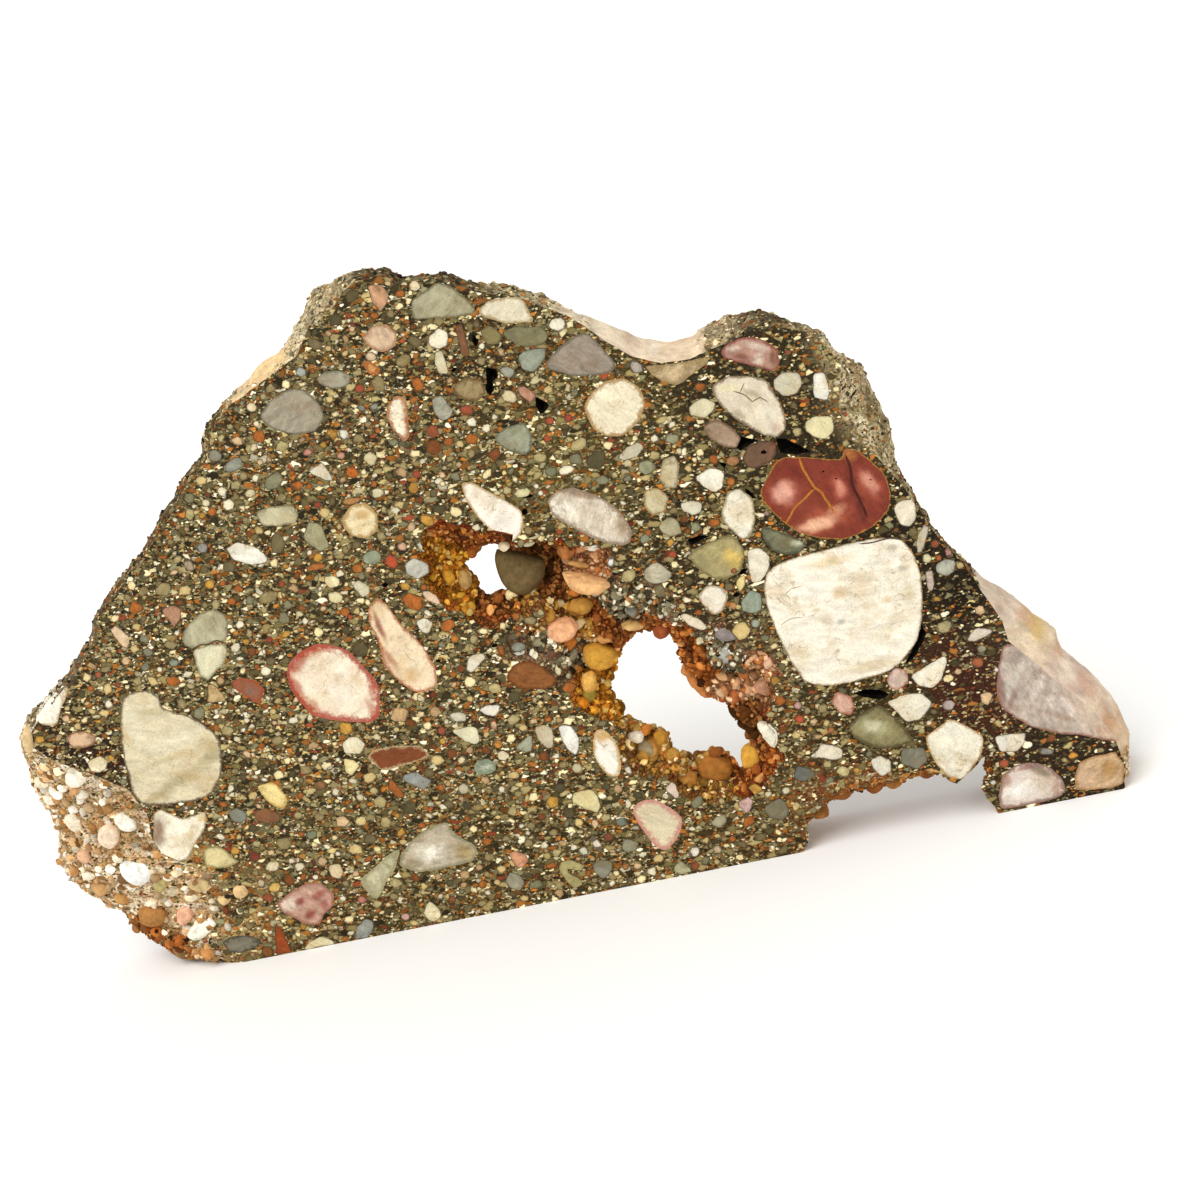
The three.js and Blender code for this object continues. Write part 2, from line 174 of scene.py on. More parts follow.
# %% Pebble outlines
QUARTZ = """
#ddd0ae/#5c4a34*0.25 -4.7,41.6 -3,42.1 -1.4,41.9 -0.5,41.2 -0.1,40.3 -0.1,39 1.1,38.2 3,37.1 4.3,35.9
 5.5,34.4 6.2,32.8 5.6,30 4.8,27.7 3.3,25.9 1.9,25 -0.7,25 -3.1,25.2 -5.6,25.5 -7.1,26.2 -7.7,28.1
 -7.4,30.4 -7.3,32.8 -6.8,35.7 -6.1,38.5 -5.3,40.4
#dcd6b4/#8a8462*0.2 6.3,46 8.6,46.3 10.9,46 10.7,44.8 9.8,43.2 8.5,42.4 7.1,41.4 6.2,42.3 6.1,43.8
#f3e8cc 47.7,80.2 49.3,81.2 50.3,80.3 49.9,78.6 48.6,78.4 47.5,79.2
#ddd2ae 48,78.2 49,78.3 49.1,76.8 49.1,75 47.7,75.2 47.6,76.9
#f0e2bd 47.7,87 1.6x1.6
#f2ead0/#a86430*0.45 40.3,72.7 41.9,73.8 42.9,73.1 42.5,70.8 42,68.1 41.1,67.5 40.2,69.6 39.8,71
#efe9d4 33.3,70.6 34.3,71.6 34.6,69.8 34.1,69.4 33.2,69.9
#e4e0cc 28.1,66.6 30.2,67.4 31,64.6 30,64.7 28.5,65.9
#c9c09c/#7d7450*0.2 19.9,62.6 21.8,63.1 25,62.5 25.2,61.1 24.5,60 22.3,60.2 20.1,60.7
#d9cda0 36.3,66.4 2.2x2
#d5caa0 36,61.7 2.2x1.5
#ead9ae/#b08a50*0.4 30.5,59.4 32.2,60.9 34.2,60.7 35.2,58.9 34.7,56.9 32.9,55.9 31.1,56.9 30.4,58.1
#d8bfa0 40,79.4 1.6x1.4
#e0d3ac 23.4,76.4 1.6x1.4
#ddd0a4 19.9,65.3 1.6x1.3
#e3d8b2 14,65.3 1.5x1.4
#e0d6ba/#a98f5c*0.25 54.8,82.3 56.5,83.2 60.1,82.8 60.6,82 61.2,79.6 60.9,79.2 57.8,79.7 54.8,81.5
#f2ead2 62.8,79 65,79 65,77.6 63.9,77.2 62.8,78
#efe3c4/#a8834e*0.4 64.5,67 66,68.6 68,69.7 70.5,69.6 72,68 72.4,66 71,63.5 68.5,62.2 66.5,62.5 65,64
#dccba0 54.7,71.4 56.1,71.3 57.1,70.1 56.1,69.4 54.8,70.1
#ddd0b8/#7a6448*0.25 80.8,66 82.9,66.9 85.6,66.4 87.8,65.4 88.6,62.9 89.2,60.3 88.8,58.4 87.5,57.6
 85.7,58.4 83.4,60.6 81.9,62.5 81.1,64.2
#dbd2ae 77.4,64 79.3,65 81,63.9 80.5,62.8 79.1,62.1 77.4,62.9
#cfc8ae 88.7,65.2 90,65.9 92,65.4 92.2,63.9 91.2,62.6 89.3,62.7 88.5,64
#eeeadb 93.6,64.8 95.2,64.7 95.3,61.9 94.6,60.8 93.1,61.8
#f4f0de 14.6,58.7 16.4,59.3 18.8,58 19.7,56.2 19.2,55.6 16.9,55.9 15.2,57
#e5c8a6 -3.6,51.2 -2.6,51.7 -1.2,49.7 -2,48 -2.7,48.6
#efe6cc -6.9,41 1.5x1.4
#dbb894/#8a6040*0.25 -14,37.6 -12.7,38.2 -11.1,38 -9.9,37 -10.6,35.9 -12.1,35.6 -13.6,36.1
#f6efdc/#b49a6c*0.2 -11.4,44.7 -12.4,44.4 -13.6,44 -14.9,43.4 -16.4,42.1 -17.1,40.6 -16.1,39.9 -15.1,39.7
 -14.4,39.9 -14,40.8 -13.2,42.1 -12.2,43.1
#e6dcae 26.9,51.3 2.1x2
#e3d7a4 26.7,49.1 2.1x1.9
#d8d4b8 29.3,50.3 30.4,50.8 31.6,49.6 31.3,48.5 30.2,48.2
#dcd8c4 39,54 40.8,54.1 42.4,53.3 41.9,51.7 40.6,51.5 39.4,52.8
#edcdb0 38,47.4 39,47.3 39.9,46.2 40,44.9 38.2,46
#ece6d0 36.1,43.6 37.5,43.8 38.4,42.8 37.3,41.3 36.4,42
#f6e4ca/#a83a26*0.75 17.5,40.1 18.4,41.6 20.1,42.7 22.5,43.3 24.5,42.7 26.4,41.6 27.6,39 28.9,36.6
 28.8,34.3 28,31.5 26.7,30.8 24.1,31.5 21.6,32.4 19.2,33.5 18,36.1 17.4,38
#f0d9b6/#b06a44*0.3 31.2,47.2 32.3,47.7 33.2,46.5 34.2,43.4 36,40.5 37,37 36.8,34.5 35,33.4 33.4,33.8
 31.6,36 30.4,38.5 30.7,42 30.1,44.5 30.4,46.3
#f8eede/#b8945c*0.2 46.8,60.7 48.2,60.4 50.2,58.6 52,56.9 53.5,55.2 53.3,53.5 52.4,52.1 51.2,51.4
 50.3,51.8 49,53.4 47.6,55.9 46.8,58.3
#e4dcc6 40.8,35.3 41.6,37.2 43.5,37.4 44,36.6 41.5,34.8
#d8cf9c 54,57.7 2.4x1.4
#f7f3e6 60,48.6 62,48.7 62.3,47.8 61,47.4 60.2,47.8
#e8e6dc 63,45.9 0.9x1.8@-20
#cfc9b0 67,59.5 68.5,60.6 70.3,61 70.8,60 69.5,59 67.8,58.9
#c9bd9c/#8a7a58*0.2 72.8,58 74.4,58.2 74.6,56.6 73.6,53.8 72.2,54.1 71.6,55.7
#e0d3a8 75,58.6 0.9x1.2
#cbbf9a/#94703e*0.2 69.4,54.5 71.3,54.5 72.3,52.8 71.5,51.2 69.7,50.8 68.9,52.3
#f3ecd8 76,54.7 78.4,55.7 80,54.6 79.3,52.5 78,52.1 76.7,53.6
#efe8d2/#8a7c58*0.2 78.3,49.4 79.7,51.9 81.2,52.1 82.7,50.4 82.5,47.6 81.3,45.3 80.1,45.2 79,46.9
 78.3,48.1
#dedac2 73.5,51.8 75.1,51.9 76.4,51.1 75.8,49.9 74.6,49.7 73.6,50.7
#e9dfc8 80.5,43.7 82,43.7 83.2,42.3 82.8,40.8 81.4,39.1 80,39.1 80,41.5
#e6cf8c 78,39.5 78.6,40.3 79.5,40.4 79.2,39 78.2,38
#ece2ce/#9a8460*0.25 72.8,38.9 74.5,40.1 76.3,39.4 76.8,38 75.6,36.2 74.3,35.7 73.2,37.5
#ecdcc0 69.8,36.8 70.6,37 72.4,35.7 73.2,34.3 72.4,34 70.8,35
#f6eedb/#8a7048*0.15 82.2,39.9 83.5,40.9 86.3,41.3 90.2,41.5 93.1,41.7 97,41.6 99.8,41 101.1,38.8
 101.5,35.6 101.1,32.5 100.3,29 98.9,26.2 96.4,23.9 94.5,23.1 90,22.7 86.2,22.9 83.8,24 82.6,27 81.8,31
 81.2,35.5 81.4,38.4
#e0d5a6 91.3,58.8 92.6,59.4 94.9,58.9 94.8,57 93.5,55.9 92,56.6 91.2,57.7
#efe9da 96.8,55.3 0.7x0.7
#e9dfc6 99.9,45.2 100.8,46 102.5,45.7 102.8,44.5 102.3,43.1 101.4,42.1 100.3,42.6 99.9,43.9
#c8bfa6 103.2,42.2 103.8,41.5 103,39.8 102.2,38.4 101.6,38.3 101.6,39.5 102.2,41
#ddd6a8 102.1,38 102.8,38.3 103.4,37.3 103,36.7 102.1,36.9
#dcd0c0 105.2,25.2 106.8,26.7 107.8,26.4 109.3,25.9 108,25.2 106.5,24.8
#efe9dc 108.4,20.3 0.8x0.8
#f3ecd6 97.3,21.9 99.9,23 102.2,23.8 102.4,22.8 101.2,20.5 99.7,19.5 98,20.3
#ebe5d0 93.5,19 96,19.6 98.3,19.3 99.5,17.4 97.3,15.5 95.5,15.6 94.7,17
#efe9d4/#b8905a*0.2 97.6,13.1 101.4,14.9 105,11.5 104.2,8.9 101.3,5.9 99.5,6.5 98.1,8.9 97.5,11.3
#e3ddc8 89.8,11.3 91.2,11.7 92.5,10.7 92.2,9 90.8,8.5 89.8,10.1
#efe9d8 106.2,11.2 110.6,10.8 109.9,9.2 108.9,8.3 106.6,8.7
#f8f0da/#a08660*0.15 -5.8,24.3 -4.7,24.8 -3.3,23.8 -2.2,22.7 -0.7,22.9 1.1,23.2 1.1,22 0.4,20.7 -1,19.3
 -2.2,18 -3.3,16.7 -4.9,16.7 -6,17.6 -7,19.2 -6.8,21.2 -6.2,22.6
#ece2bb -1.1,24.2 1.8x0.7
#d9ca94/#8f8450*0.25 -0.4,17.9 1.2,18 2.1,17.2 3,15.6 3.7,14.9 2.1,14.4 0.2,14.6 -1.1,15.3 -1,16.8
#efd894/#c09a4c*0.2 9,25.3 11.3,25.4 12.2,24 12.6,22.4 11.8,21.3 10.7,21.6 9.7,23
#e8dcc2 10.6,13.5 1.2x1.1
#e3d8b8 11.4,12.4 1.7x1.4
#dcb862 7.2,10.2 2x1.8
#dcc8a0 15.1,11 15.3,11.8 17,11.8 17,10.2 16.3,9.4 15.2,10
#ece2b8 8.2,0 9.8,1.2 11.3,1.7 12.4,1 13.3,0
#e8dcb4 25.9,2 26.8,3.2 27.3,3.7 28.1,2.6 28.5,1.3 27.3,0.3 26.3,0.9
#efe6d2 29,4 1.2x1
#efe0a6 21.6,26.7 22.9,26.2 23.5,25.1 22,23.8 21.2,24.7
#e8dcb4 22,23.2 1.4x1.1
#d8cba0 22.2,20.6 1.1x1.3
#ecdcb4 36.1,22.7 37,23.7 37.7,23.3 37,22.2
#e6dab0 35.3,21.7 36.3,21.9 36.8,20.8 36.3,20.4
#c9c1a0 35,18.6 35.8,19.6 36.8,19.8 37,18.7 36.2,18 35.2,18.2
#e3dcb8 36.6,27.5 39.4,27.6 40.2,26.9 40.1,25.2 39.5,24.7 38,25.5
#d3cdb6 36.8,29.8 38,30 39.3,29.4 39,28.2 37.5,28.5
#f2ead8 41,29.5 42,30 44,29.7 43.8,28.8 42.9,28 41.8,28.6
#cbbd9f 47.5,25.5 49,25.7 49.9,24.9 49.8,23.5 49.2,22 48.5,22.1 47.5,23.8
#f1ece0 50.6,24.8 51.5,25 52.6,24.5 53,22.5 52.5,20.8 51.8,20.3 51,21.5 50.7,23
#cbbf98 51.7,18.5 1.4x1.6
#e3cf95 21.3,17.3 1.9x1.8
#ece0a0 22.5,12.7 1.2x1
#dde0c8 49.6,6.4 1.6x1.4
#eee2ca 51,8.2 51.5,8.5 52.2,7 52,6 51.5,6 51,7
#d8c080 50,10.7 1.3x1.5
#e3d7a0 49.8,13.9 50.2,15 51.5,15.3 53,15 53.5,14 53.4,12.2 52.7,11.4 52,12 51,12.6
#f4eee0/#c9a566*0.3 54.3,19.8 54.6,21.5 55.3,23.3 56.5,23.3 57.5,21.5 57.8,20 57.5,17.5 56.8,16.1
 55.4,16.6 54.6,18.3
#f0e8da 59.4,21.8 60.2,22.3 61,21 60.4,20.1 59.5,20.6
#e9dfc8 57.7,17.5 58.4,17.8 58.8,16.2 58,15.8
#efe9dc 62.5,16.5 1x1.3
#e8d2c0 62.3,13 63.5,14 64,13.2 64.1,11.8 63.6,11
#ddd0ae/#c98a7c*0.6 57.4,10.8 58.2,11.8 59.5,12.1 61,11.6 62.7,10 63.7,8.3 63.2,6.8 61.8,5 60.3,4.1
 59.2,5 58,8 57.6,9.5
#efe8d6 63.2,3 64.3,4.4 65,3.2 64.3,2.4 63.3,2.6
#efe9da 77.8,22.8 78.3,22.9 79,21.6 78.7,21.3 77.9,22.2
#e9e2cc 76.2,19.4 76.7,19.9 77.8,19.6 78.8,18 78.5,16.4 77.8,15.6 77,17 76.6,18.4
#e6dcc4 82,13.4 83.5,14.4 84,15 85.5,14.5 86.7,13.5 86.3,12.3 85,12.3 83.3,13
#cfc998 84.7,11 86,11.4 86.8,10.8 86.7,9.3 85.8,9.6
#e3d9b4 78,9.4 1.4x1.2
#ded2aa 75.6,9.3 1.3x1.1
#dccdc0/#8c6a5c*0.4 105,0.6 105.4,3.1 106.2,5.3 108.3,6.5 110.4,6.4 112.4,5.4 113.8,3.3 114,1.5
 113.1,0.6 109.8,0.4 107.1,0.4
#dad6cc 104.9,4.6 0.8x0.8
"""
QUARTZITE = """
#a59c86/#6c6450*0.2 24.2,75.3 26.1,76.9 28.9,77.7 30.9,76.9 31.9,75.1 32.1,73 30.6,71.5 28.1,71.5
 25.4,72.8 24.1,74.3
#aaa48c/#6c6a54*0.2 32.5,78.3 34,78.9 35.9,78.5 36.9,77.6 36.3,76.4 34,76.4 32.6,77.5
#d9bb9a/#a87a54*0.3 39.5,82 41.2,83.2 43.1,83.1 44,81.5 43.5,80.1 41.7,79.6 40.4,80.3
#a8a590 46,72.4 47.5,72.5 48.4,70.3 47.9,69.4 46.6,69.1 45.9,70.3
#dca05c/#a05c2c*0.3 38.6,78.9 39.7,79 40.8,77.6 40.4,76.9 39.2,77.3
#9a8d7c/#6a6252*0.25 61.2,73.4 62.5,74.7 65.2,76.2 67.3,76.4 68.3,74.9 69.8,71.8 69.6,70.8 67.5,70.6
 64.5,71.1 61.5,72.8
#bd8a70 56.9,71.5 58,71.4 59.2,69.9 58.2,68.8 57,70.4
#c98a78 28.7,69 1.4x1.2
#c8977c 32.7,67.6 1.3x1.1
#c99b86 69.3,75.2 1.4x1.2
#b3a99a 72.3,70.6 2x2.2
#b58c7a/#8a4c40*0.3 83,70.3 84.4,71.2 86.7,71.4 88.6,70.5 90,69 90,67.1 88.9,66.2 87.2,67.2 85.1,68.2
 83.2,69.4
#b98a6c 3.9,52.4 5.5,52.8 6.6,52 6.1,50.6 4.8,49.6
#c9a083 37.2,53.9 1.6x1.4
#c4c0b0 36.8,51.6 38.2,52.2 39.9,50.8 39.6,49.6 37.9,49 36.7,50.2
#e0d3be/#8f7862*0.4 57,55.8 58.3,56.8 60.5,57 62,56 63.8,54.8 65,53.5 66.2,51.5 66.7,49.3 66,48 65,47.7
 63,48.6 61,50 58.5,52.3 57.2,53.8
#a88f76/#6e5640*0.25 78.6,61 80.5,61.8 82.3,60.1 83,58.5 82.1,57.4 80.8,57.8 79.2,59.3
#c0b89c 66.8,43.9 68.8,44.8 70.5,42.6 69.2,41.5 67.3,41.8 66.5,42.7
#b98277 105.5,37.7 0.9x1.8
#b8b8a6 103.6,36.4 104.9,37 106.2,36.3 105.8,34.9 104.4,34.5 103.4,35.4
#c6b3a2 102,35.8 103.1,35.8 103,34 102.5,32.8 101.9,33
#b3a09a 101.3,16.8 1.8x1.6
#dcc4b4/#a8705c*0.2 94.3,22.4 95.7,23.6 97.1,22.8 96.9,21.1 95.2,20.2 94.3,20.9
#82806c 94.2,12.1 97,11.6 97.2,9.6 95.6,8.5 93.5,9.9
#c0b0a2/#905e50*0.25 109.8,23.6 111.8,23.4 114.2,21 115.9,18.4 118,15.1 120.5,12 122,8.6 122,6.8
 119.6,7.7 117.3,8.9 114.2,9.8 111.4,11.3 109.6,13 108,14.9 107.7,17.2 108.6,20.5
#c49a86/#a06a58*0.3 6.7,7.7 8.7,8.8 11.3,9.8 13.5,9.6 15,7.4 14.2,5.7 12.7,4.8 11.7,3.4 10.1,3.7 8.5,5.1
 7.1,6.3
#cdb892 5.6,11.2 1.2x2
#9a9c92 15.5,0.2 16.5,1.8 18,3 19.2,2.2 18.5,0.8 17.5,0
#c8806c 18.4,5.8 1.4x1.3
#bfb299/#8f8a68*0.4 24.7,9.8 25.3,11 26.7,12.5 29,13.9 31,14.5 32.7,14.6 32.9,13.5 33.7,12.2 35.5,10.5
 35.6,9.3 34.5,8.2 31,8 27,8.1 25.6,8.9
#d9b0a0 23.5,2 1.4x1.3
#9aa09a 28.3,22.2 29.2,22.7 30.8,22.6 31.5,21.7 32.4,21 31.5,20.2 30.8,19.6 30.2,20.3 29,21.3
#dcb08a 42.4,27 0.9x1.5
#d0aca4 71.2,8.8 71.9,9.3 73,9.6 73.5,8.8 72.9,7.7 72.3,7 71.8,7.6
#c9b28c 66.5,3.8 67.9,3.2 67.6,2.2 66.8,2.1
#d9ae96/#a86450*0.25 86.5,20.7 87.6,21.9 89.2,20.8 89.4,19.3 88.7,18.2 87.2,18.8
#c89a90 82.2,21 1.4x1.3
#848a78 37,73.2 1.3x1.1
#8c8f7e 38.7,73 1.3x1.2
#a8aaa0 30.8,79.5 1.8x1.6
#8f9280 16.9,71.2 2x1.8
#8d9080 19,69.5 2.8x1.7@20
#9a9c98 11.7,59.5 1.8x1.6
#b4a58c 9.3,57.6 1.6x2.2
#a58c80 84,48 0.9x0.9
#cfae88/#a87c4c*0.25 115.4,3 116.5,5.1 118.7,5.5 121.3,5.5 122.1,3.5 121.6,0.8 119.9,0.5 117.3,0.8
 115.3,1.2
#8f8f8a 112.4,7.6 2.4x1.3@-20
"""
SILTSTONE = """
#aea788/#6f684c*0.2 47,85.4 48.8,86.1 50.8,86.9 52,86.2 53.3,84.6 54.5,82.4 54.2,81.9 52,82 48.7,82.5
 46.5,82.8 46.6,84.2
#9a9f8c 58,75.2 59,75.9 62,75.7 61.3,74.2 59.7,72.8 58.2,73.4
#8a7e54 54.3,79.6 55.7,80.1 57,78.5 56.2,77.4 54.6,77.7
#84805f 56.8,78.8 58.6,79.2 61.9,78.4 62.6,77.2 61.8,76.1 59.4,76.2 57.3,77.7
#a8a898 56.3,74.5 57.2,73.9 57.2,72.5 55.9,73 55.1,74.1
#9ea088/#66644c*0.25 52.5,65.7 54.4,66.6 56.7,66.7 57.3,65.1 56.7,62.9 55.4,62.5 53.7,63.6 52.7,64.6
#a59f7a 24.8,57.8 26.2,60 27.8,59.2 28,56 26.5,55.5
#b9b292/#7c7656*0.2 7.5,50.1 9.1,50.9 10.8,51 11.8,50 12.1,48.8 11.5,47.2 10.9,46.2 8.6,46.5 6.3,46.2
 5.6,46.8 5.4,47.7 6,49
#8c8e7a 0.4,47 1.8x1.6
#8a8c76 -0.6,45 1.6x1.4
#8d9382 3.4,44.8 1.7x1.5
#9a9f84 32.9,53.3 2.6x2.2
#8e8f80 48.4,37 2x1.6
#9a9a78 70.5,57.5 2.4x2.2
#b3a986 70,49.4 71.6,50.4 72.8,49.6 72.9,47.7 71.4,47.5 70.4,48.3
#9a9b78 73.5,48.6 75.2,49 75.5,47.8 74.6,47.3
#8f9076 68,48 1.6x1.4
#b0a272/#7a6e44*0.3 72.8,44.5 74.3,45.5 76.8,45.9 79.1,46.3 80.2,43.6 79.1,40.9 77,40.3 75.3,40.7 73.7,42.6
 73.2,43.8
#73735a/#4c4a36*0.25 82.8,46.3 84,46 85.2,45.1 86.9,44 88,43 87.3,41.9 85.4,41.8 83.7,42.7 82.8,44.5
#96a08c 78.1,36.9 79.8,38.3 81,37.3 80.5,35.1 79,34.9 77.9,35.6
#a0a892 79.3,33.5 1.7x1.5
#b5a67c 103,27.7 2.4x2
#a8a890 107.1,23.7 1.6x1.3
#8a8058/#544c30*0.4 88,16.7 89.8,18 92.6,18.9 94.4,16.4 96.1,12.7 92.6,12.3 91.4,12.6
 89.5,13.7 88.2,15.2
#87897a 4.1,22.4 5.5,22.9 6.6,21.9 6.5,20.8 5.3,20.3 4.2,21.3
#7f8164 14.3,16.6 2x1.8
#7f7a68/#4a4436*0.3 -2.2,3.6 -0.9,4.2 1.6,3.9 3.3,2.8 2.1,1.8 -0.2,1.5 -1.8,1.9
#c4bd9a/#a39c74*0.4 18.8,8.2 19.2,9 22,10.5 24,11.8 25.5,12.1 24.6,10.4 24.2,9.4 22.5,8 21.5,6.5
 20.5,5.4 19.8,5.9 19.3,7
#a3a58c 44.2,23.2 46,24.2 47.1,24.8 46.8,23.2 46.3,22.1 45.5,22.2
#e6ead0/#76826a*1 38.2,21.3 38.8,22.4 40.4,22.5 41.2,21.6 41,20.5 39.6,20.2 38.5,20.6
#9d9880 38,4.2 39.2,5.7 40.4,4.6 40.8,3.6 39.8,2.4 38.5,3.2
#8a8868 42.2,3 2.2x1.5
#b5aa72 45.6,4.5 46.2,5.6 47.5,5.7 48.5,4.9 49.4,4.4 48.7,3.5 47.5,4 46.8,4.3 47,3.5 48.2,2.5
 48.4,1.6 47,1.2 46.2,2.5 45.8,3.7
#b0a064 44.6,6.8 1.3x1.4
#8f8c78 50.2,4.3 51.5,4.8 53,4.2 52.8,3 52,2 51,1.8 50.3,3
#7c7a68 74.5,7.3 75.2,8 77,8.5 77.7,7.5 77.8,6 76.5,5.1 75,5.9
#a9a184 67,6.8 68,7.6 69.5,7.8 69.4,6.5 68.3,5.8
#b9b48e 60.6,1 61.3,2 62.2,2.3 63.3,0.3 61.5,0.2
#96927a 54.6,5.8 55.3,7 56.3,6.9 57.2,6 56.5,4.9 55,5
#7c8478 55.5,9.5 1.8x1.4
#6e7068 79.3,11 80.3,12.7 82.2,11.5 82.3,10.5 80.5,10
#c9c0a2 31.2,17.6 1.6x0.9
#8b8a6e 12,66.5 2x1.6
#87876b 62,60.5 2.2x1.8
#7d7d5e 58.5,59.5 1.8x1.5
#9c9b7c 74.6,60.4 2.2x1.6
#8b8a6c 64.6,57 2x1.7
"""
IRONSTONE = """
#8a5f41 51.3,80.9 52.3,81.1 52.4,77.6 52,76.4 51.2,77.1
#c99b76 42,88.5 43.8,88.1 44.4,86.7 43.8,85.6 42.6,84.6 42,86.3
#b0652f 45.8,86.4 1.4x1.3
#c06a2b 33.5,65.1 1.9x1.8
#a8622e 46.7,66.3 1.6x1.2
#a08c64/#6c5430*0.3 49.2,73.4 50.9,74.2 52.9,73.4 53,71.6 51.8,70.7 49.9,71.3 49.1,72.4
#c48f58 32.4,61.4 2.8x1.2
#b5692f 44.8,74.5 1.6x2.4
#b06a30 38.5,79.8 1x1
#c9b088/#9a8258*0.3 73.4,70.5 75.7,70.1 79,69.9 81.6,70 81.1,69.2 79.4,68.3 76.7,67.1 75,68.1 73.8,69.4
#a8622e 79.5,66.3 1.7x1.2
#c9ad7b 6,38.3 6.9,41 7.8,40.5 8.8,38
#c8a674 8.7,41 1.5x1.6
#b5702f 30.6,52.3 1.8x1.4
#b3703a 25.5,53.7 3.2x1.3
#925c30/#6e3c1c*0.25 45.7,33 46.2,34 47.5,34.9 49.5,34.8 50.6,33.8 52.2,31.6 51.5,30.7 50,30.5 47,31.3
#b0652e 46,37 1x2
#b5702f 80.5,53.2 1.3x1.6
#a87a50 81.3,55.8 2x1.5
#b06c38 68.6,48.8 1.2x1.1
#b5704a 78.2,41.2 1x0.9
#c8905c 77,36.6 0.9x1.6
#b5602c 72.4,36.6 1.3x0.9
#b06a34 94,54.9 0.7x0.7
#b0622e 104.1,37.2 0.9x0.9
#c7b078 106.6,35.6 1.2x1.4
#c88448 109.3,24.4 1.2x1
#d8a868 96,8.4 97.3,8.5 98.1,8 98.3,7.4 97.3,7.4
#dc9c42 115.8,6.2 1.4x1.1
#8a5a2c 2.6,0.1 4.4,0.1 4,1.6 2.8,1.8
#9c4a22 4.5,0.2 5.3,3.5 5.7,4.9 6.4,4 6.6,2 7,0
#c28c46 12.2,13.9 1.3x1
#84482a/#b9a078*0.25 24.6,26.1 25.9,27 28.5,26.9 31,26.5 32.1,26.2 33,24.7 32,24.2 29,24 27,23.6 26,24
#d0b47c 20.6,22.6 1.1x0.8
#8a6440 17.5,23.5 2.2x1.4
#b5692f 26.7,22.4 27.3,22 27.7,21 28.3,19.4 27.3,19.3 26.2,21
#c8883f 42.2,24.2 1.6x1.5
#8d5a34 30.4,3.2 1.3x1.2
#c9a072 32.5,5 1.2x0.9
#b5702f 35,4.5 1.5x1.4
#dc9f7a 39.5,8.3 40.7,8.5 41.9,7.6 42,6.5 41,5.8 40.2,6
#7c4a34 53.4,7.8 1.6x1.4
#c08a4c 54.6,3 1.2x1.1
#c07a48 85.7,16.6 1.2x1
#c9a24c 83,17.3 0.8x1
#a5642e 57.6,67.4 1x1.6
#a8652f 22,48.6 1.5x1.1
#a0602f 13.4,36.2 1.2x1
"""
JASPER = """
#803523/#a8762e*0.13 83.8,50.9 85.2,52.9 87.1,54.9 89.7,54.5 92.3,53.6 94.8,52.9 95.4,54.4 96.9,53.8
 98.4,51.9 99.7,49.9 100,47.2 99.2,44.9 97.4,43.5 95.3,42.7 92.8,42.3 90.1,43.1 87.5,44.4 86.1,46
 84.6,48.2 83.8,49.7
#6e533d/#4a3825*0.2 82.5,55.8 83.6,57.3 85.8,57.7 87.1,57 87,55.5 85.8,54.5 83.8,54.2 82.8,54.8
#a85337 50,69.9 1.8x1.5
#a84e31 37.5,75.7 1.6x1.4
#b05333 60,66.2 1.2x1.1
#a5482e 62.3,66 1.1x1.2
#a94e31 59,64 1x1.1
#945a3d/#a8482d*0.2 10.1,40.5 11.4,41 13.3,39.9 14.1,38.5 13.3,37.2 12.4,36.8 11.4,38.2 10.3,39.3
#a85a3b -7,45.4 1.1x1
#a55139 -4.8,43.4 1.1x1
#b8502e 35.3,52.2 1.6x2.6
#b3502e 71,45.2 1.2x1
#9c5334 104.1,39.2 1.3x1.3
#a85c3b 106.2,21.8 1.6x1.5
#b55a3b 106.8,6.9 1.9x1.5
#845a39 7.6,21.6 9.4,22 11,20.6 10.7,19.5 9,19.5 7.5,20.3
#7a3527 5.9,15.2 1.8x1.6
#6e2f25 13.5,12.6 0.8x1.3
#a0533b 35.5,27.6 1.2x1.5
#b85533 81.2,18.9 81.9,20.1 82.7,18.9 82.6,18.3 81.6,18.6
#a5482e 28,61.8 1.1x1.2
#a84c2e 41.6,63 1x1.2
#9c472f 16.6,45.2 1.2x1
#a84d2e 20.4,52.4 1x1.1
#7e412f 64.2,31 1x1
"""


def read_pebbles(kind, text):
    """A pebble starts at each word with #. Comma words are corners; a word with x is a size."""
    pebbles = []
    for word in text.split():
        if word.startswith("#"):
            colours, _, width = word.partition("*")
            core, _, rind = colours.partition("/")
            pebbles.append({"kind": kind, "core": core, "rind": rind, "width": float(width or 0), "xz": []})
        elif "x" in word:
            size, _, turn = word.partition("@")
            pebbles[-1]["size"] = [float(value) for value in size.split("x")]
            pebbles[-1]["turn"] = math.radians(float(turn or 0))
        else:
            pebbles[-1]["xz"].append([float(value) for value in word.split(",")])
    return pebbles


KINDS = ("quartz", "quartzite", "siltstone", "ironstone", "jasper")
named = [
    pebble
    for kind, text in zip(KINDS, (QUARTZ, QUARTZITE, SILTSTONE, IRONSTONE, JASPER))
    for pebble in read_pebbles(kind, text)
]
print("named pebbles:", {kind: sum(p["kind"] == kind for p in named) for kind in KINDS})

# %% [markdown]
# ## From corners to stone outlines
#
# A river pebble has blunt corners and a slightly uneven side. Corner cutting blunts it: every side
# keeps its middle and gives up a share of its length at both ends. Then points are spaced evenly and
# pushed in and out a little by noise.

# %% Outline helpers
def rounded(outline, cut=0.15, rounds=2):
    """Corner cutting: each side is replaced by its own stretch from cut to 1 − cut, again and again."""
    for _ in range(rounds):
        following = np.roll(outline, -1, axis=0)
        ends = (outline * (1 - cut) + following * cut, outline * cut + following * (1 - cut))
        outline = np.stack(ends, 1).reshape(-1, outline.shape[1])
    return outline


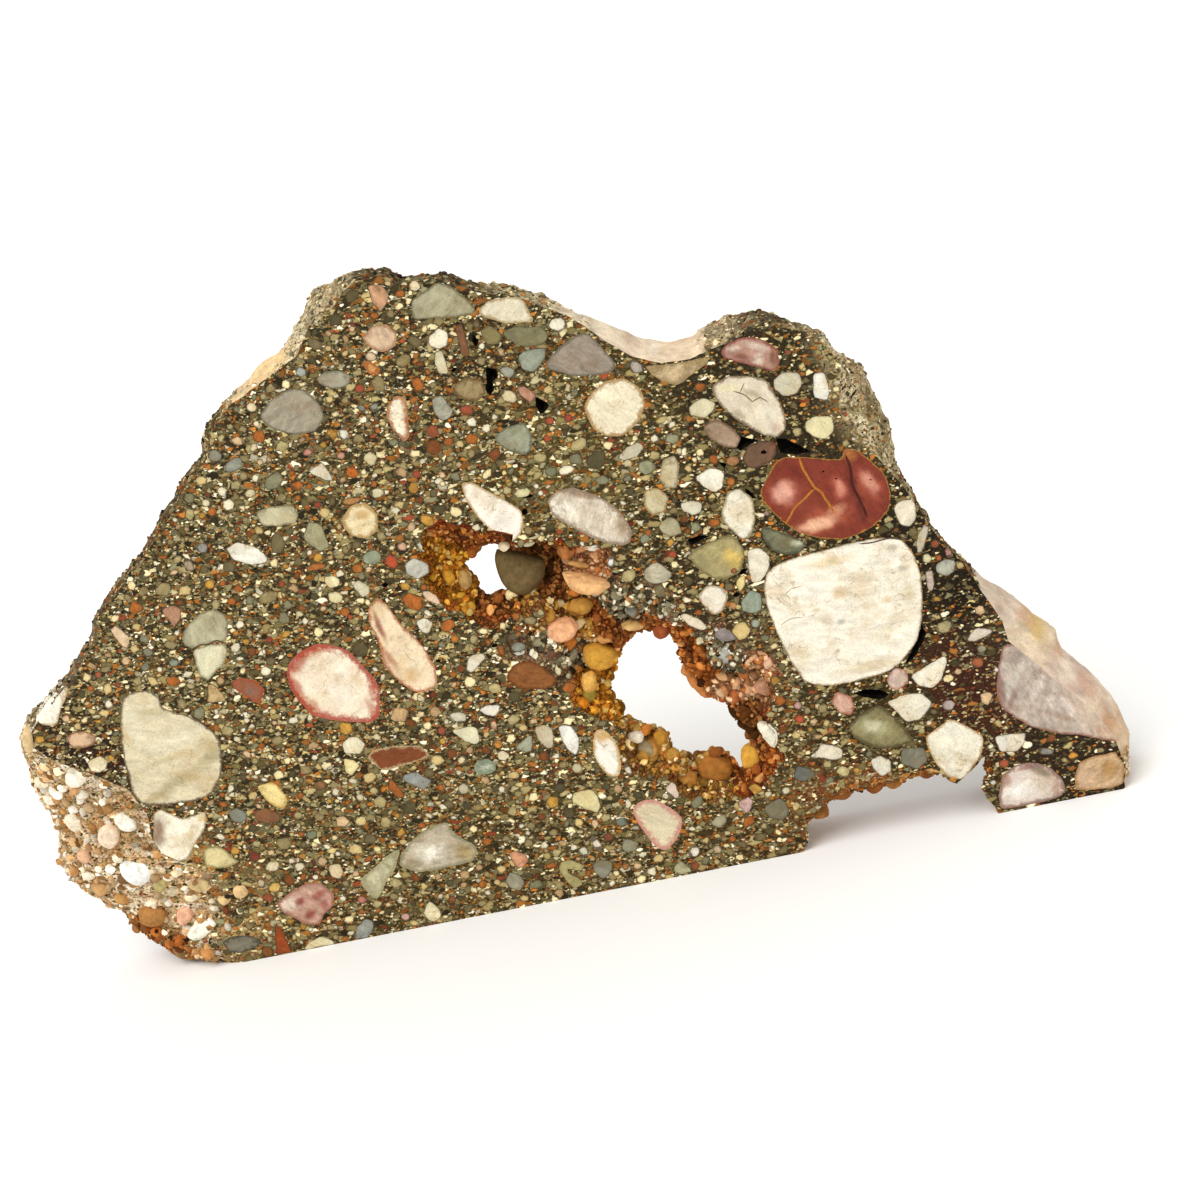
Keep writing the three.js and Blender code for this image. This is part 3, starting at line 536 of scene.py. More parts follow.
def respaced(rows, step):
    """Points at even steps of the closed line's length; the columns of a row travel together."""
    loop = np.vstack([rows, rows[:1]])
    pairs = np.diff(loop, axis=0).reshape(len(rows), -1, 2)
    travelled = np.r_[0, np.cumsum(np.linalg.norm(pairs, axis=2).max(axis=1))]
    places = np.linspace(0, travelled[-1], max(8, round(travelled[-1] / step)), endpoint=False)
    return np.stack([np.interp(places, travelled, column) for column in loop.T], -1)


def outward(loop, smoothing=0):
    """Unit normals in the plane: the tangent between both neighbours, turned a quarter to the outside,
    then averaged with the neighbours' normals as often as asked."""
    tangent = np.roll(loop, -1, axis=0) - np.roll(loop, 1, axis=0)
    normal = np.stack([tangent[:, 1], -tangent[:, 0]], -1)
    normal /= np.linalg.norm(normal, axis=1, keepdims=True) + 1e-9
    for _ in range(smoothing):
        normal = normal / 2 + np.roll(normal, 1, axis=0) / 4 + np.roll(normal, -1, axis=0) / 4
    following = np.roll(loop, -1, axis=0)
    area = (loop[:, 0] * following[:, 1] - following[:, 0] * loop[:, 1]).sum()
    return normal * np.sign(area)


def counter_clockwise(loop):
    """The same loop, turned if need be so that its signed area is positive."""
    following = np.roll(loop, -1, axis=0)
    area = (loop[:, 0] * following[:, 1] - following[:, 0] * loop[:, 1]).sum()
    return loop if area > 0 else loop[::-1]


def angular_round(middle, size, turn, rng, sides):
    """A stone of so many corners: angles evenly spread and jittered, radius jittered by an eighth."""
    angles = (np.arange(sides) + rng.uniform(-0.3, 0.3, sides)) * 2 * math.pi / sides
    reach = rng.uniform(0.88, 1.14, sides)
    u, v = size[0] / 2 * reach * np.cos(angles), size[1] / 2 * reach * np.sin(angles)
    flat = np.stack([u * math.cos(turn) - v * math.sin(turn), u * math.sin(turn) + v * math.cos(turn)], -1)
    return np.asarray(middle) + flat


SIDE_STEP = 0.42  # mm between points round a large pebble
SMALL_STEP = 0.2  # and round the smallest
SIDE_UNEVEN = 0.1  # mm in and out


def pebble_outline(pebble, rng):
    """Corners blunted, evenly spaced, then moved along the outward normal by noise."""
    corners_xz = np.array(pebble["xz"])
    blunting = 0 if pebble["kind"] == "void" else 1
    cut = 0.11 if len(corners_xz) < 10 else 0.16
    if "size" in pebble:
        corners_xz = angular_round(corners_xz[0], pebble["size"], pebble["turn"], rng, rng.integers(5, 8))
    around = np.linalg.norm(corners_xz - np.roll(corners_xz, 1, axis=0), axis=1).sum()
    step = min(SIDE_STEP, max(SMALL_STEP, around / 18))
    loop = respaced(rounded(counter_clockwise(corners_xz), cut, blunting), step)
    return loop + outward(loop) * SIDE_UNEVEN * noise(on_face(loop), 0.8, 5)[:, None]


rng = np.random.default_rng(7)
for pebble in named:
    pebble["loop"] = pebble_outline(pebble, rng)
print("points round the named pebbles:", sum(len(pebble["loop"]) for pebble in named))

# %% [markdown]
# ## Veins, gaps and patches
#
# Some things on a pebble no recipe can guess. Iron has run along cracks in the jasper; cement has fallen
# out beside some pebbles, and these gaps and the smaller pits are painted near black, a painted shade
# in their depths; a white stone has a mauve corner. A vein is written as the middle line of a strip, a
# gap as an outline, and a patch as a soft ellipse of another colour. The palest pink patches on the
# jasper are painted highlights, where the lamps reflect in its polish.

# %% Veins, gaps and patches
VEINS = """
#b8742c*0.3 89.6,54.3 89.9,52.3 90.6,50.1 91.4,49.2 92,47.5 92.4,46
#b8742c*0.26 86,46 87.7,48 89.2,48.9 90.7,49.9
#4c1c16*0.34 95.5,53.4 95.7,51.4 95.4,49.4 95.9,47.2 96.4,44.6
#54443a*0.2 94.6,41.3 96.5,41.1 98.6,41.2 100.8,40.4
#7a6450*0.16 83.4,64.9 84.8,64 85.4,62.9 86.5,63.3 87.4,62.4
#7a6450*0.14 84.2,64.4 85,65.6
#5a3a24*0.2 24.6,10 25.2,11.2 25.9,12.3
#b8a078*0.12 82.4,32.6 84,33.2 85.6,33
#b8a078*0.12 83.6,36.4 84.8,37.2 86.3,37.3
#54402c*0.2 6.2,46.1 7.4,46.6 8.6,46.3 9.6,46.7 10.9,46.1
"""
# gaps: outlines that sink and are coloured near black, #120f0b, a painted shade for their depths
GAPS_WITH_PAINTED_SHADE = """
#120f0b 87.3,57.6 88.6,57.2 91.3,54.8 89.7,54.8 87.4,55.6
#120f0b 82.3,59 83.6,58.5 85.1,57.8 83.3,57.3 82.5,56.9 82.2,57.6
#120f0b 100.2,28.8 100.6,27.4 99.6,25.8 98.3,24.3 96.9,23.6 97.9,25 99,26.6 99.8,28
#120f0b 89.6,21.2 91.4,21.3 93.1,20.9 94.2,20 92.8,19.5 90.9,20.2
#120f0b 82,51.9 82.5,51.5 83.3,50.2 82.6,50.4 82,51.2
#120f0b 73.2,46.7 74.9,47 76.2,46.6 74.9,46.2 73.6,45.8
#120f0b 79.5,56.1 80.6,55.6 80.1,55.1
#120f0b 78.4,41.4 79.9,41.2 79.6,40.6 78.7,40.6
#120f0b 77.7,38 0.9x0.7
#120f0b 53.8,74.9 55,74.3 55.1,73.3 54.2,72.8 54.2,71.8 53.4,71 53,72 53.5,73.3
#120f0b 58.9,69.7 59.8,69 60.4,68.3 59.8,67.5 59,67.3 58.7,68.4
#120f0b 53.3,79.7 53.8,78.4 53.4,77.6 53,78.4
#120f0b 49.8,75.4 0.9x0.5@20
#120f0b 66.8,67.6 0.8x1.1
#120f0b 53.8,55 0.9x1
#120f0b 54.6,57.1 1.6x0.6@-10
#120f0b 33.6,49.3 0.8x0.7
#120f0b -9,27.2 1.3x3.4@12
#120f0b 45.4,37.9 0.9x0.5
#120f0b 62.8,44.3 1.2x0.4@-25
#120f0b 37.6,37.5 0.8x0.5
#120f0b 95.6,69.1 1.2x0.4@20
"""
# pits: small gaps, coloured near black, #120f0b, a painted shade for their depths
PITS_WITH_PAINTED_SHADE = """
#120f0b 92.2,51.9 0.35x0.3
#120f0b 93.6,50.6 0.3x0.25
#120f0b 97.8,49.5 0.35x0.3
#120f0b 90.4,49.9 0.3x0.25
#120f0b 85.4,56.1 0.75x0.6
#120f0b 105.5,25.3 0.3x0.25
#120f0b 96.3,8.4 0.25x0.2
#120f0b 28.6,3.2 0.25x0.2
"""


def read_rows(text):
    """Commas part the rows and spaces the values; each number in them becomes one."""
    return [
        tuple(word if word[0] == "#" or word[-1].isalpha() else float(word) for word in row.split())
        for row in text.split(",")
    ]


STAINS_AND_PAINTED_HIGHLIGHTS = read_rows(
    # x, z, half width, half height, turn in degrees, colour, strength: in the red jasper its own lighter
    # and darker mottling, with painted highlights in the palest pink spots, where the lamps reflect in it
    "86.9 50.2 2.2 1.9 0 #a8523e 0.8, 86.7 50.3 1.5 1.3 0 #f0b49c 0.9, 93.7 49.2 1.1 1.6 10 #a8523e 0.75, "
    "93.9 49.3 0.7 1.1 10 #d89078 0.8, 97.5 48.9 1.3 2.3 25 #a8523e 0.8, 97.6 49.2 0.8 1.6 25 #e0a088 0.8, "
    "90.8 45.4 3.6 1.5 8 #ac563c 0.85, 90 45.1 2.4 0.8 6 #f4bf9a 0.9, 92.6 46.4 1.4 0.7 20 #dc9a78 0.7, "
    "95.9 53.4 0.9 0.9 0 #b07038 0.8, 89.4 52.6 2.4 1 0 #6e241c 0.5, 95.6 48 0.5 4 6 #54201a 0.7, "
    # the big white stone at the right
    "91 35.4 1 0.8 10 #cdb084 0.75, 90.5 39.8 3 0.7 0 #e8cf9c 0.6, 88.4 31.8 0.8 0.6 20 #d8cfb6 0.6, "
    "99.4 33.6 0.9 1.4 0 #d2c4a0 0.7, 98.6 39.8 0.8 0.7 0 #b8af98 0.75, 84 27.5 1.2 1.8 -20 #e0d2ae 0.6, "
    "95 28.6 2.2 1.1 20 #e6dabc 0.5, 92.6 24.4 4 0.8 0 #cdb88e 0.7, 99.4 36.9 0.6 0.5 0 #a9a594 0.7, "
    "86.6 36.6 2.4 1 10 #fbf5e6 0.5, 90.2 31.2 0.5 0.4 0 #a4a698 0.8, 87.4 33.6 0.5 0.4 0 #c4b694 0.7, "
    "96.6 33 0.7 0.5 0 #d6c294 0.7, 85 35.6 0.5 0.5 0 #d2c6a6 0.7, "
    # the big cream stone at the left
    "2.4 29.4 3.4 0.9 28 #b3a680 0.6, -1.6 28.2 2.4 0.8 20 #a89a70 0.7, 4 26.6 1.4 0.8 20 #b08c4c 0.7, "
    "-4.6 26.6 2 0.8 10 #b09a68 0.7, 4.8 31.4 1.6 1 60 #a89c74 0.6, -4.6 37 1.2 3 10 #eee8cc 0.6, "
    "-1 38.6 2.6 0.5 -10 #b8aa80 0.6, 0.6 34 4.2 1.3 12 #ece4c6 0.6, -2 31.6 4 0.5 15 #bfb186 0.5, "
    # mauve corner, olive cores, tan caps and other stains
    "-5.8 21.6 1.1 2.2 -20 #93765e 0.98, -1.4 20.6 1.2 0.5 60 #dcc89a 0.7, 0.4 22.4 0.6 0.6 0 #e6cf8c 0.7, "
    "29.5 10.6 1.9 1.4 0 #f6f0de 0.95, 34 9.9 1.3 1.5 30 #a8925c 0.85, 26.6 9.4 1.4 0.7 0 #948c68 0.7, "
    "91.2 15.9 1.3 0.9 -20 #f0edcc 0.98, 91.2 15.9 2.6 1.7 -20 #a8a478 0.6, "
    "58.5 54.6 2.6 1.1 -40 #f2e9d6 0.8, 61.5 55.9 3.4 0.7 -20 #94795e 0.85, "
    "65.7 50.4 0.8 2 -20 #a8906a 0.8, 62.5 52.4 2.6 1 -38 #d6c6ae 0.6, 8.4 7.2 1.5 1.1 0 #ead6c2 0.85, "
    "10 7.4 0.7 0.5 0 #8a3c30 0.9, 10.8 5.2 0.9 0.6 30 #8c3c30 0.9, 12.8 7.8 1.2 0.6 20 #a0584a 0.85, "
    "13.2 6.2 0.7 0.9 0 #9c5446 0.7, 11.6 8.6 0.8 0.4 0 #d8b098 0.8, 86.8 43.2 0.9 0.5 -20 #d0ceb2 0.95, "
    "85 44.6 1.2 0.5 -30 #8c8c70 0.6, 78.4 43.2 1.1 1.5 0 #dcbc64 0.85, 76 44.6 1.4 0.8 0 #c9bc84 0.7, "
    "74.4 43.2 0.8 1.2 0 #858058 0.6, 33.2 59.2 1.2 0.7 0 #c09450 0.7, 56 22.4 1 0.8 0 #cf9a40 0.8, "
    "84.4 70.4 1.1 0.4 -10 #e6d4bc 0.85, 87.6 69.9 1.5 0.5 -30 #e6d2c0 0.85, "
    "87.4 68 0.6 1.2 -25 #eedac6 0.7, 85.4 69 1.2 0.4 -20 #6e382c 0.8, 89.3 68 0.4 1.2 -10 #7c4434 0.8, "
    "83 65.4 1.5 0.5 -20 #eadfb0 0.7, 85.6 64 1.2 0.5 -35 #8f7b54 0.6, 86.6 60.4 1.4 2 30 #efe6d0 0.6, "
    "83.6 61.6 1 0.5 -45 #94805a 0.6, 87.6 59 0.8 0.8 0 #c9a890 0.6, 108.4 2.8 2.2 1.4 0 #f8f4ea 0.95, "
    "111.2 5 1.8 0.7 -30 #6a6462 0.9, 106.6 4.4 0.8 1 10 #b98a78 0.8, 112.9 2 0.7 1.4 0 #b8907a 0.8, "
    "109.4 5.7 1.2 0.4 0 #8a4a3c 0.7, 120 3.4 1.3 1.4 0 #b08444 0.8, 116.8 2.4 1 1.2 0 #d9b496 0.7, "
    "19.4 41 0.9 2 -40 #b05c44 0.85, 18.1 37.6 0.8 2.4 10 #b0583e 0.8, 19.6 34.6 0.8 1.6 30 #b4634a 0.7, "
    "27.2 32.4 0.6 2 10 #c07a5c 0.7, 22 42.4 2.2 0.6 5 #b8684e 0.75, 24.2 36.6 2.8 2.2 0 #fbefdc 0.8, "
    "28.1 35.6 0.5 1.8 -10 #b4684a 0.7, 33.6 36.2 1.4 1 0 #cfa468 0.6, 31.3 44 0.4 2.4 6 #8c3a24 0.85, "
    "31.4 39.4 0.5 2 20 #a85c34 0.7, 34.2 38.6 1.2 2 25 #f4e4c8 0.6, 42.3 69.8 0.4 1.6 5 #8a4a24 0.8, "
    "12 38.6 0.9 0.9 0 #8a6a5c 0.7, "
    # streaks on the sawn part of the big quartzite cobble
    "110.4 18.6 0.6 3.2 -35 #cfc4b4 0.8, 112.8 16.4 0.5 3.4 -38 #dccfc0 0.7, "
    "109.4 15.4 0.5 2.2 -30 #8c7064 0.7, 111.4 13.4 0.5 2.2 -45 #ccbcac 0.7, "
    "111.2 21.4 1.2 0.8 0 #a0948a 0.7, 115.4 12 2.2 0.5 -30 #a08674 0.6, 108.4 17.4 0.5 2.6 0 #7c5248 0.7, "
    "114.4 14.6 0.6 1.6 -40 #e2d6c4 0.6, 119.4 10.8 1.6 5.4 28 #d2bca6 0.9, "
    "116.6 12.8 0.4 3.4 25 #ecdcd0 0.6, 120.4 8.6 0.8 1.6 28 #c49a7c 0.5"
)
GAP_SLOPE = 2.2  # mm deeper for each mm from the gap's outline
GAP_DEPTH = 1.8  # mm, at most


def strip(line, width):
    """A line of points as a closed outline: points every half millimetre, moved half the width to both
    sides along the normal, with a little noise, and narrow at the ends."""
    line = np.asarray(line)
    travelled = np.r_[0, np.cumsum(np.linalg.norm(np.diff(line, axis=0), axis=1))]
    places = np.linspace(0, travelled[-1], max(4, int(travelled[-1] / 0.5)))
    line = np.stack([np.interp(places, travelled, column) for column in line.T], -1)
    along = np.gradient(line, axis=0)
    across = np.stack([-along[:, 1], along[:, 0]], -1)
    across /= np.linalg.norm(across, axis=1, keepdims=True)
    line = line + across * 0.12 * noise(on_face(line), 0.9, 8)[:, None]
    half = (width / 2 * np.r_[0.3, np.ones(len(line) - 2), 0.3])[:, None]
    return counter_clockwise(np.vstack([line + across * half, (line - across * half)[::-1]]))


veins, gaps, pits = (
    read_pebbles(kind, text) for kind, text in (("vein", VEINS), ("void", GAPS_WITH_PAINTED_SHADE), ("void", PITS_WITH_PAINTED_SHADE)))
for vein in veins:
    vein["loop"] = strip(vein["xz"], vein["width"])
for gap in gaps + pits:
    gap["loop"] = pebble_outline(gap, rng)
print("veins:", len(veins), "gaps and pits:", len(gaps + pits), "patches:", len(STAINS_AND_PAINTED_HIGHLIGHTS))

# %% [markdown]
# ## The worn hollow and its two holes
#
# Water dissolved the cement behind the face and left overlapping scoops, one behind the other, with
# two holes right through. On the real piece the edge of the hollow crumbles grain by grain, so the
# places are pushed about by noise before the scoops are measured there.

# %% Hollow depth and hole walls
SCOOPS = read_rows(
    # x, z, half width, half height, depth, turn in degrees
    "43.5 49.5 4.6 6.2 4.5 10, 46.5 44 4.2 2.6 3.4 0, 53 46.5 6 4.4 5.5 0, 59 45 3.6 4 3.6 -20, "
    "57 39.8 4.4 4.8 4.4 0, 62.5 37 3.6 2.6 3.6 -15, 57.4 31 4.2 6.6 4.5 14, 70 30 2.6 5.5 3.6 15, "
    "74.5 24.5 4.5 4 3.4 -20, 75.6 18 2.4 6 3.6 8, 70 13.8 6.6 4 4 0, 62.4 19.6 4 4.6 4 0, "
    # shallow rubble beside the deep scoops
    "65.5 39.5 4.2 3.2 1.2 -25, 73.5 31 3.6 3 1 -20, 78 27 2.6 2.6 1.2 0, 50.5 36.8 4.6 2.6 0.9 -8, "
    "53.6 33 3 2.6 1.1 -20"
)
STONE_CELL, GRIT_CELL = 1.9, 1.0  # mm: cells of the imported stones, and of the grit between them
HOLLOW_STONES, RIM_STONES, RIM_GRIT = 21, 61, 67  # noise channels
CRUMBLE = 0.9  # mm that the edge of the hollow is pushed about
HOLE_LEAN = np.array([-0.14, -0.4])  # mm moved for each mm of depth
HOLE_FLARE = 1.3  # mm wider at both faces than at mid depth
WALL_STEP = 0.45  # mm between points round a hole
LIP_TRIES = 8  # halvings that settle how deep the lip lies
BIG_HOLE = np.array(read_rows(
    "60.9 32.3, 61.9 33.9, 65 34.3, 68 32.8, 68.3 30.7, 68.2 28.4, 68.6 26.2, 69.3 24.2, 71.3 22.7, "
    "73.2 21.6, 73.3 19.6, 74.6 17, 75 14.6, 74.6 12, 72.2 11.1, 71.2 12.4, 71.1 14.2, 69.3 15, 66.5 14, "
    "65 15, 63.6 16.2, 63.6 18.2, 62.8 19.4, 60.8 20.7, 59.6 22, 58.3 21.8, 58.5 24.2, 57.5 25.2, "
    "57.8 28.2, 59 29.2, 59.8 30.7"
))
SMALL_HOLE = np.array(read_rows(
    "43.2 48.3, 44 45.8, 43.8 44.3, 44.9 43.3, 46 42.9, 48 43, 50.2 44.4, 50.6 47, 50 49.6, 48.6 50, "
    "46.7 50.6, 45.4 49.9"
))


def scooped(flat, scoops):
    """Depth of the deepest scoop at (x, z): depth · √(1 − u² − v²) in each scoop's own turned axes."""
    deepest = np.zeros(len(flat))
    for x, z, half_x, half_z, depth, turn in scoops:
        angle = math.radians(turn)
        dx, dz = flat[:, 0] - x, flat[:, 1] - z
        u = (dx * math.cos(angle) + dz * math.sin(angle)) / half_x
        v = (dz * math.cos(angle) - dx * math.sin(angle)) / half_z
        deepest = np.maximum(deepest, depth * np.sqrt(np.maximum(0, 1 - u * u - v * v)))
    return deepest


def grain_domes(points, size, channel):
    """Packed grains as domes: √(1 − (d / 0.62)²) over each grain's middle, 0 in the cracks between."""
    gap, _ = packed_cells(points, size, channel)
    return np.sqrt(np.maximum(0, 1 - (gap / 0.62) ** 2))


def hollow_depth(flat):
    """Scoops at places pushed about by noise, then roughened with grain domes and noise wherever there
    is any depth."""
    place = on_face(flat)
    push = np.stack([noise(place, 1.6, 11), noise(place, 1.6, 12)], -1)
    smooth = scooped(flat + CRUMBLE * push, SCOOPS)
    domes = 0.6 * grain_domes(place, STONE_CELL, HOLLOW_STONES) + 0.3 * grain_domes(place, 0.9, 27)
    rough = smooth + np.minimum(1, smooth) * (0.5 * noise(place, 2.2, 13) - domes + 0.4)
    return np.where(smooth > 0.02, np.maximum(rough, 0.05), 0)


def throat(outline, normals, depth):
    """The hole's wall at a depth: its mid-depth outline, flared by a square law and leant over."""
    offset = np.asarray(depth) - THICKNESS / 2
    flare = HOLE_FLARE * (offset / (THICKNESS / 2)) ** 2
    return outline + flare[:, None] * normals + offset[:, None] * HOLE_LEAN


def hole_wall(outline, rings=16):
    """Rings from the lip, where the wall meets the hollow, to the back face. The lip's depth is found
    by trying a depth, reading the hollow there, and going halfway to it a few times."""
    loop = respaced(counter_clockwise(outline), WALL_STEP)
    normals = outward(loop)
    loop = loop + normals * (0.28 * noise(on_face(loop), 1.5, 41))[:, None]
    normals = outward(loop, 8)
    depth = np.full(len(loop), 3.0)
    for _ in range(LIP_TRIES):
        depth = (depth + hollow_depth(throat(loop, normals, depth))) / 2
    lip = throat(loop, normals, depth)
    depth = hollow_depth(lip)
    wall = []
    for share in np.linspace(0, 1, rings):
        level = depth + (THICKNESS - depth) * share
        flat = lip if share == 0 else throat(loop, normals, level)
        point = np.stack([flat[:, 0], level, flat[:, 1]], -1)
        domes = grain_domes(point, STONE_CELL, HOLLOW_STONES)
        bumps = 0.3 * noise(point, 1.6, 43) - 0.5 * domes + 0.2
        push = math.sin(math.pi * share) * bumps
        point[:, [0, 2]] += normals * push[:, None]
        wall.append(point)
    return np.array(wall)


hole_walls = [hole_wall(BIG_HOLE), hole_wall(SMALL_HOLE)]
for wall in hole_walls:
    print("a lip lies this deep, mm:", wall[0, :, 1].min().round(2), "to", wall[0, :, 1].max().round(2))

# %% [markdown]
# ## The broken edge
#
# Round the slab the stone was broken, not sawn. Each row below is one place on the edge: x and z
# where it leaves the front face, then x and z where it is widest, 7 mm back. Between the two the
# surface follows a sine, so it leaves the face at a slope and ends upright. The cut base is the run
# of rows with z = 0, and nothing on it is roughened, because the slab stands on it. The cobble at the
# right broke as one smooth piece, so it takes only long waves.

# %% Edge rows and the rim's grid
CREST_DEPTH = 7.0  # mm behind the front face, where the slab is widest
BACK_INSET = 0.8  # mm that the back face lies inside the crest
BREAK_CURVE = 1.25  # power that keeps the first rings near the front face
EDGE = np.array(read_rows(
    # lower left rubble
    "0 0 -9.4 0, -2.4 1.6 -12 0.8, -2.6 3.4 -13.1 3, -0.4 4.9 -14.5 5, 2.6 6.6 -15.9 6.2, 4.6 8.6 -17 8.6, "
    "5 11.4 -18.9 10, 3.8 13.6 -21 12.8, 0.8 13.9 -22.2 14.8, -1.9 14.6 -22.6 16, -3.8 16.2 -23.1 17.2, "
    "-6.4 18.4 -22.4 19.1, -7.1 21 -21.6 21.1, -6.6 24 -21.8 22.6, -8 28.4 -22 25.2, -12 31.6 -22.5 27.9, "
    "-17 35 -22.5 31.3, -18.6 37 -22.4 34.6, "
    # left shoulder and the slope up to the peak
    "-18.2 39.4 -21.8 37.6, -17.2 40.7 -20.4 39, -14.6 42.4 -18.5 40.3, -11.9 44.7 -15.7 42.5, "
    "-9.8 46 -12.8 44.4, -7.4 48.6 -10.3 46.8, -5.4 50.6 -8.1 48.8, -4.3 53 -7 51, 0.5 57.4 -2.2 55.7, "
    "5.2 61.2 2.6 59.5, 9.4 65.4 7 64, 13.6 69.4 11.1 68, 16 71.2 13.7 70, 17.2 74.4 14.7 73, "
    "21 77.2 18.9 76.3, 24.4 78.8 21.8 78, 30.6 81.6 28.3 81.3, 33.2 84.4 31.8 85.1, 36.4 86.2 33.8 88, "
    # peak
    "39 88.6 37.2 88.3, 41 89.4 39.2 88.8, 44.4 89.2 43.5 88.5, 46 87.6 45 86.8, 50.2 87.7 50.1 86.2, "
    "52 86.8 51.9 85.3, 55 84.4 54.5 83.8, 58.6 83.6 58.3 82.4, 61.2 82 61.9 80.6, 65.7 78.7 66 77.1, "
    # saddle and right shoulder
    "69.2 74.8 69.5 74.9, 72.1 72.2 73.2 72.2, 75.4 70.4 76.3 70.9, 79.4 70.1 79.4 70.9, "
    "82.6 70.9 81.7 72, 88.2 72 87.6 72.6, 90.8 71.9 89.5 72, 93.9 70.3 92.3 70, 96.1 68.3 95.9 67.6, "
    "97.2 65.4 97.3 64.5, 96.4 62 99.4 62.7, 95.9 59.2 100.4 58.5, 97 55.4 101.3 53.9, "
    "99.6 51.5 101.2 48.8, 101.6 48 102.1 45.3, 102.8 44.6 103.2 42.4, 103.6 42 104.1 39.2, "
    "106.3 37.2 107 33.9, 107.8 33.4 109 30.2, "
    # broken side of the big quartzite cobble
    "109.2 30 112 27.6, 110.4 26.8 115.1 23.6, 110.6 24 117.1 21.5, 112.6 21.4 117.4 18.6, "
    "115 18 119.4 15.8, 117.6 14.4 121.2 12.9, 120 11 122.9 8.8, 121.6 8 123.8 5, 121.8 5.6 122.8 2.8, "
    "122.2 3 122.6 1.2, "
    # foot and arch
    "121.6 0 121.8 0, 104.7 0 105.2 0, 103.7 2.4 104.4 2.4, 103.1 4.3 104.2 4.4, 105.3 6.5 105.2 6.4, "
    "104.8 8.6 104.4 8.2, 102.2 6.7 102.4 7.6, 100.2 5.5 100 6.6, 98 7.6 97.6 6.4, 96.4 8.3 95.7 5.8, "
    "93.6 8.4 93 5.2, 91.2 8.2 91 4.8, 88.4 8 88.5 4.8, 86.6 8 86.1 5, 83.6 7.2 83.2 4.8, 81.4 5.6 81 3, "
    "79.6 3.6 79.2 1.8, 79.3 1.2 78.8 0.9, 78.2 0 77.6 0"
))
COBBLE_SIDE = [(110, 29, 3.5), (115, 23, 4), (118, 17, 4), (121, 12, 3.5), (122.8, 7.6, 2.6)]  # x, z, reach
SMOOTH_SIDES = COBBLE_SIDE + [(71, 74, 4), (77, 71.6, 3)]
EDGE_STEP = 0.45  # mm between places round the edge
BASE_FADE = 0.9  # mm above the base over which roughness fades in


def grid_normals(grid, outside):
    """Cross product of the grid's two directions, turned to agree with the outside direction."""
    along = np.roll(grid, -1, axis=1) - np.roll(grid, 1, axis=1)
    across = np.gradient(grid, axis=0)
    normal = np.cross(along, across)
    normal /= np.linalg.norm(normal, axis=-1, keepdims=True) + 1e-9
    return normal * np.sign((normal * outside).sum(-1, keepdims=True) + 1e-9)


def near_any(x, z, spots):
    """1 at the middle of a spot, falling to 0 from 0.8 to 1.2 of its reach."""
    gaps = [np.hypot(x - spot[0], z - spot[1]) / spot[2] for spot in spots]
    return np.clip((1.2 - np.min(gaps, axis=0)) / 0.4, 0, 1)


def rim_grid():
    """Rings from the front face out to the crest, then in to the back face, all roughened along the
    normal by noise at two sizes and by the domes of packed grains at two sizes."""
    rows = respaced(EDGE, EDGE_STEP)
    front, crest = rows[:, :2], rows[:, 2:]
    away = outward(crest, 12)
    back = crest - BACK_INSET * away * (crest[:, 1:] > 0.01)
    rings = []
    for share in np.linspace(0, 1, 16):
        flat = front + (crest - front) * math.sin(share * math.pi / 2)
        rings.append(on_face(flat, CREST_DEPTH * share**BREAK_CURVE))
    for share in np.linspace(0, 1, 8)[1:]:
        flat = crest + (back - crest) * share
        rings.append(on_face(flat, CREST_DEPTH + (THICKNESS - CREST_DEPTH) * share))
    grid = np.array(rings)
    normal = grid_normals(grid, np.stack([away[:, 0], 0 * away[:, 0] - 0.1, away[:, 1]], -1))
    normal[[0, -1], :, 1] = 0
    waves, knocks = noise(grid, 4.2, 51), noise(grid, 1.5, 52)
    stones = 0.36 * grain_domes(grid, STONE_CELL, RIM_STONES) + 0.2 * grain_domes(grid, GRIT_CELL, RIM_GRIT)
    push = 0.5 * waves + 0.24 * knocks + stones - 0.25
    smooth = near_any(grid[..., 0], grid[..., 2], SMOOTH_SIDES)
    push = push * (1 - smooth) + (0.5 * waves + 0.1 * knocks) * smooth
    ring = np.arange(len(grid))[:, None]
    at_face = np.where((ring == 0) | (ring == len(grid) - 1), 0.45, 1.0)
    fade = np.clip(grid[..., 2] / BASE_FADE, 0, 1) * at_face
    grid = grid + normal * (push * fade)[..., None]
    grid[..., 1] = np.clip(grid[..., 1], 0, THICKNESS)
    grid[0, :, 1], grid[-1, :, 1] = 0, THICKNESS
    on_base = (rows[:, 1] < 1e-6) & (rows[:, 3] < 1e-6)
    grid[..., 2] = np.where(on_base, 0, np.maximum(grid[..., 2], 0.03))
    return grid, on_base


rim, on_base = rim_grid()
print("rim grid:", rim.shape, "columns on the base:", on_base.sum())

# %% [markdown]
# ## Smaller pebbles between the named ones
#
# Between the large pebbles lie over a thousand small ones. They are thrown down at random, largest
# first, and one stays only where it touches nothing: the same way a packed gravel looks when sawn.
# They lie mostly along the bedding, so their long axes keep near the level.

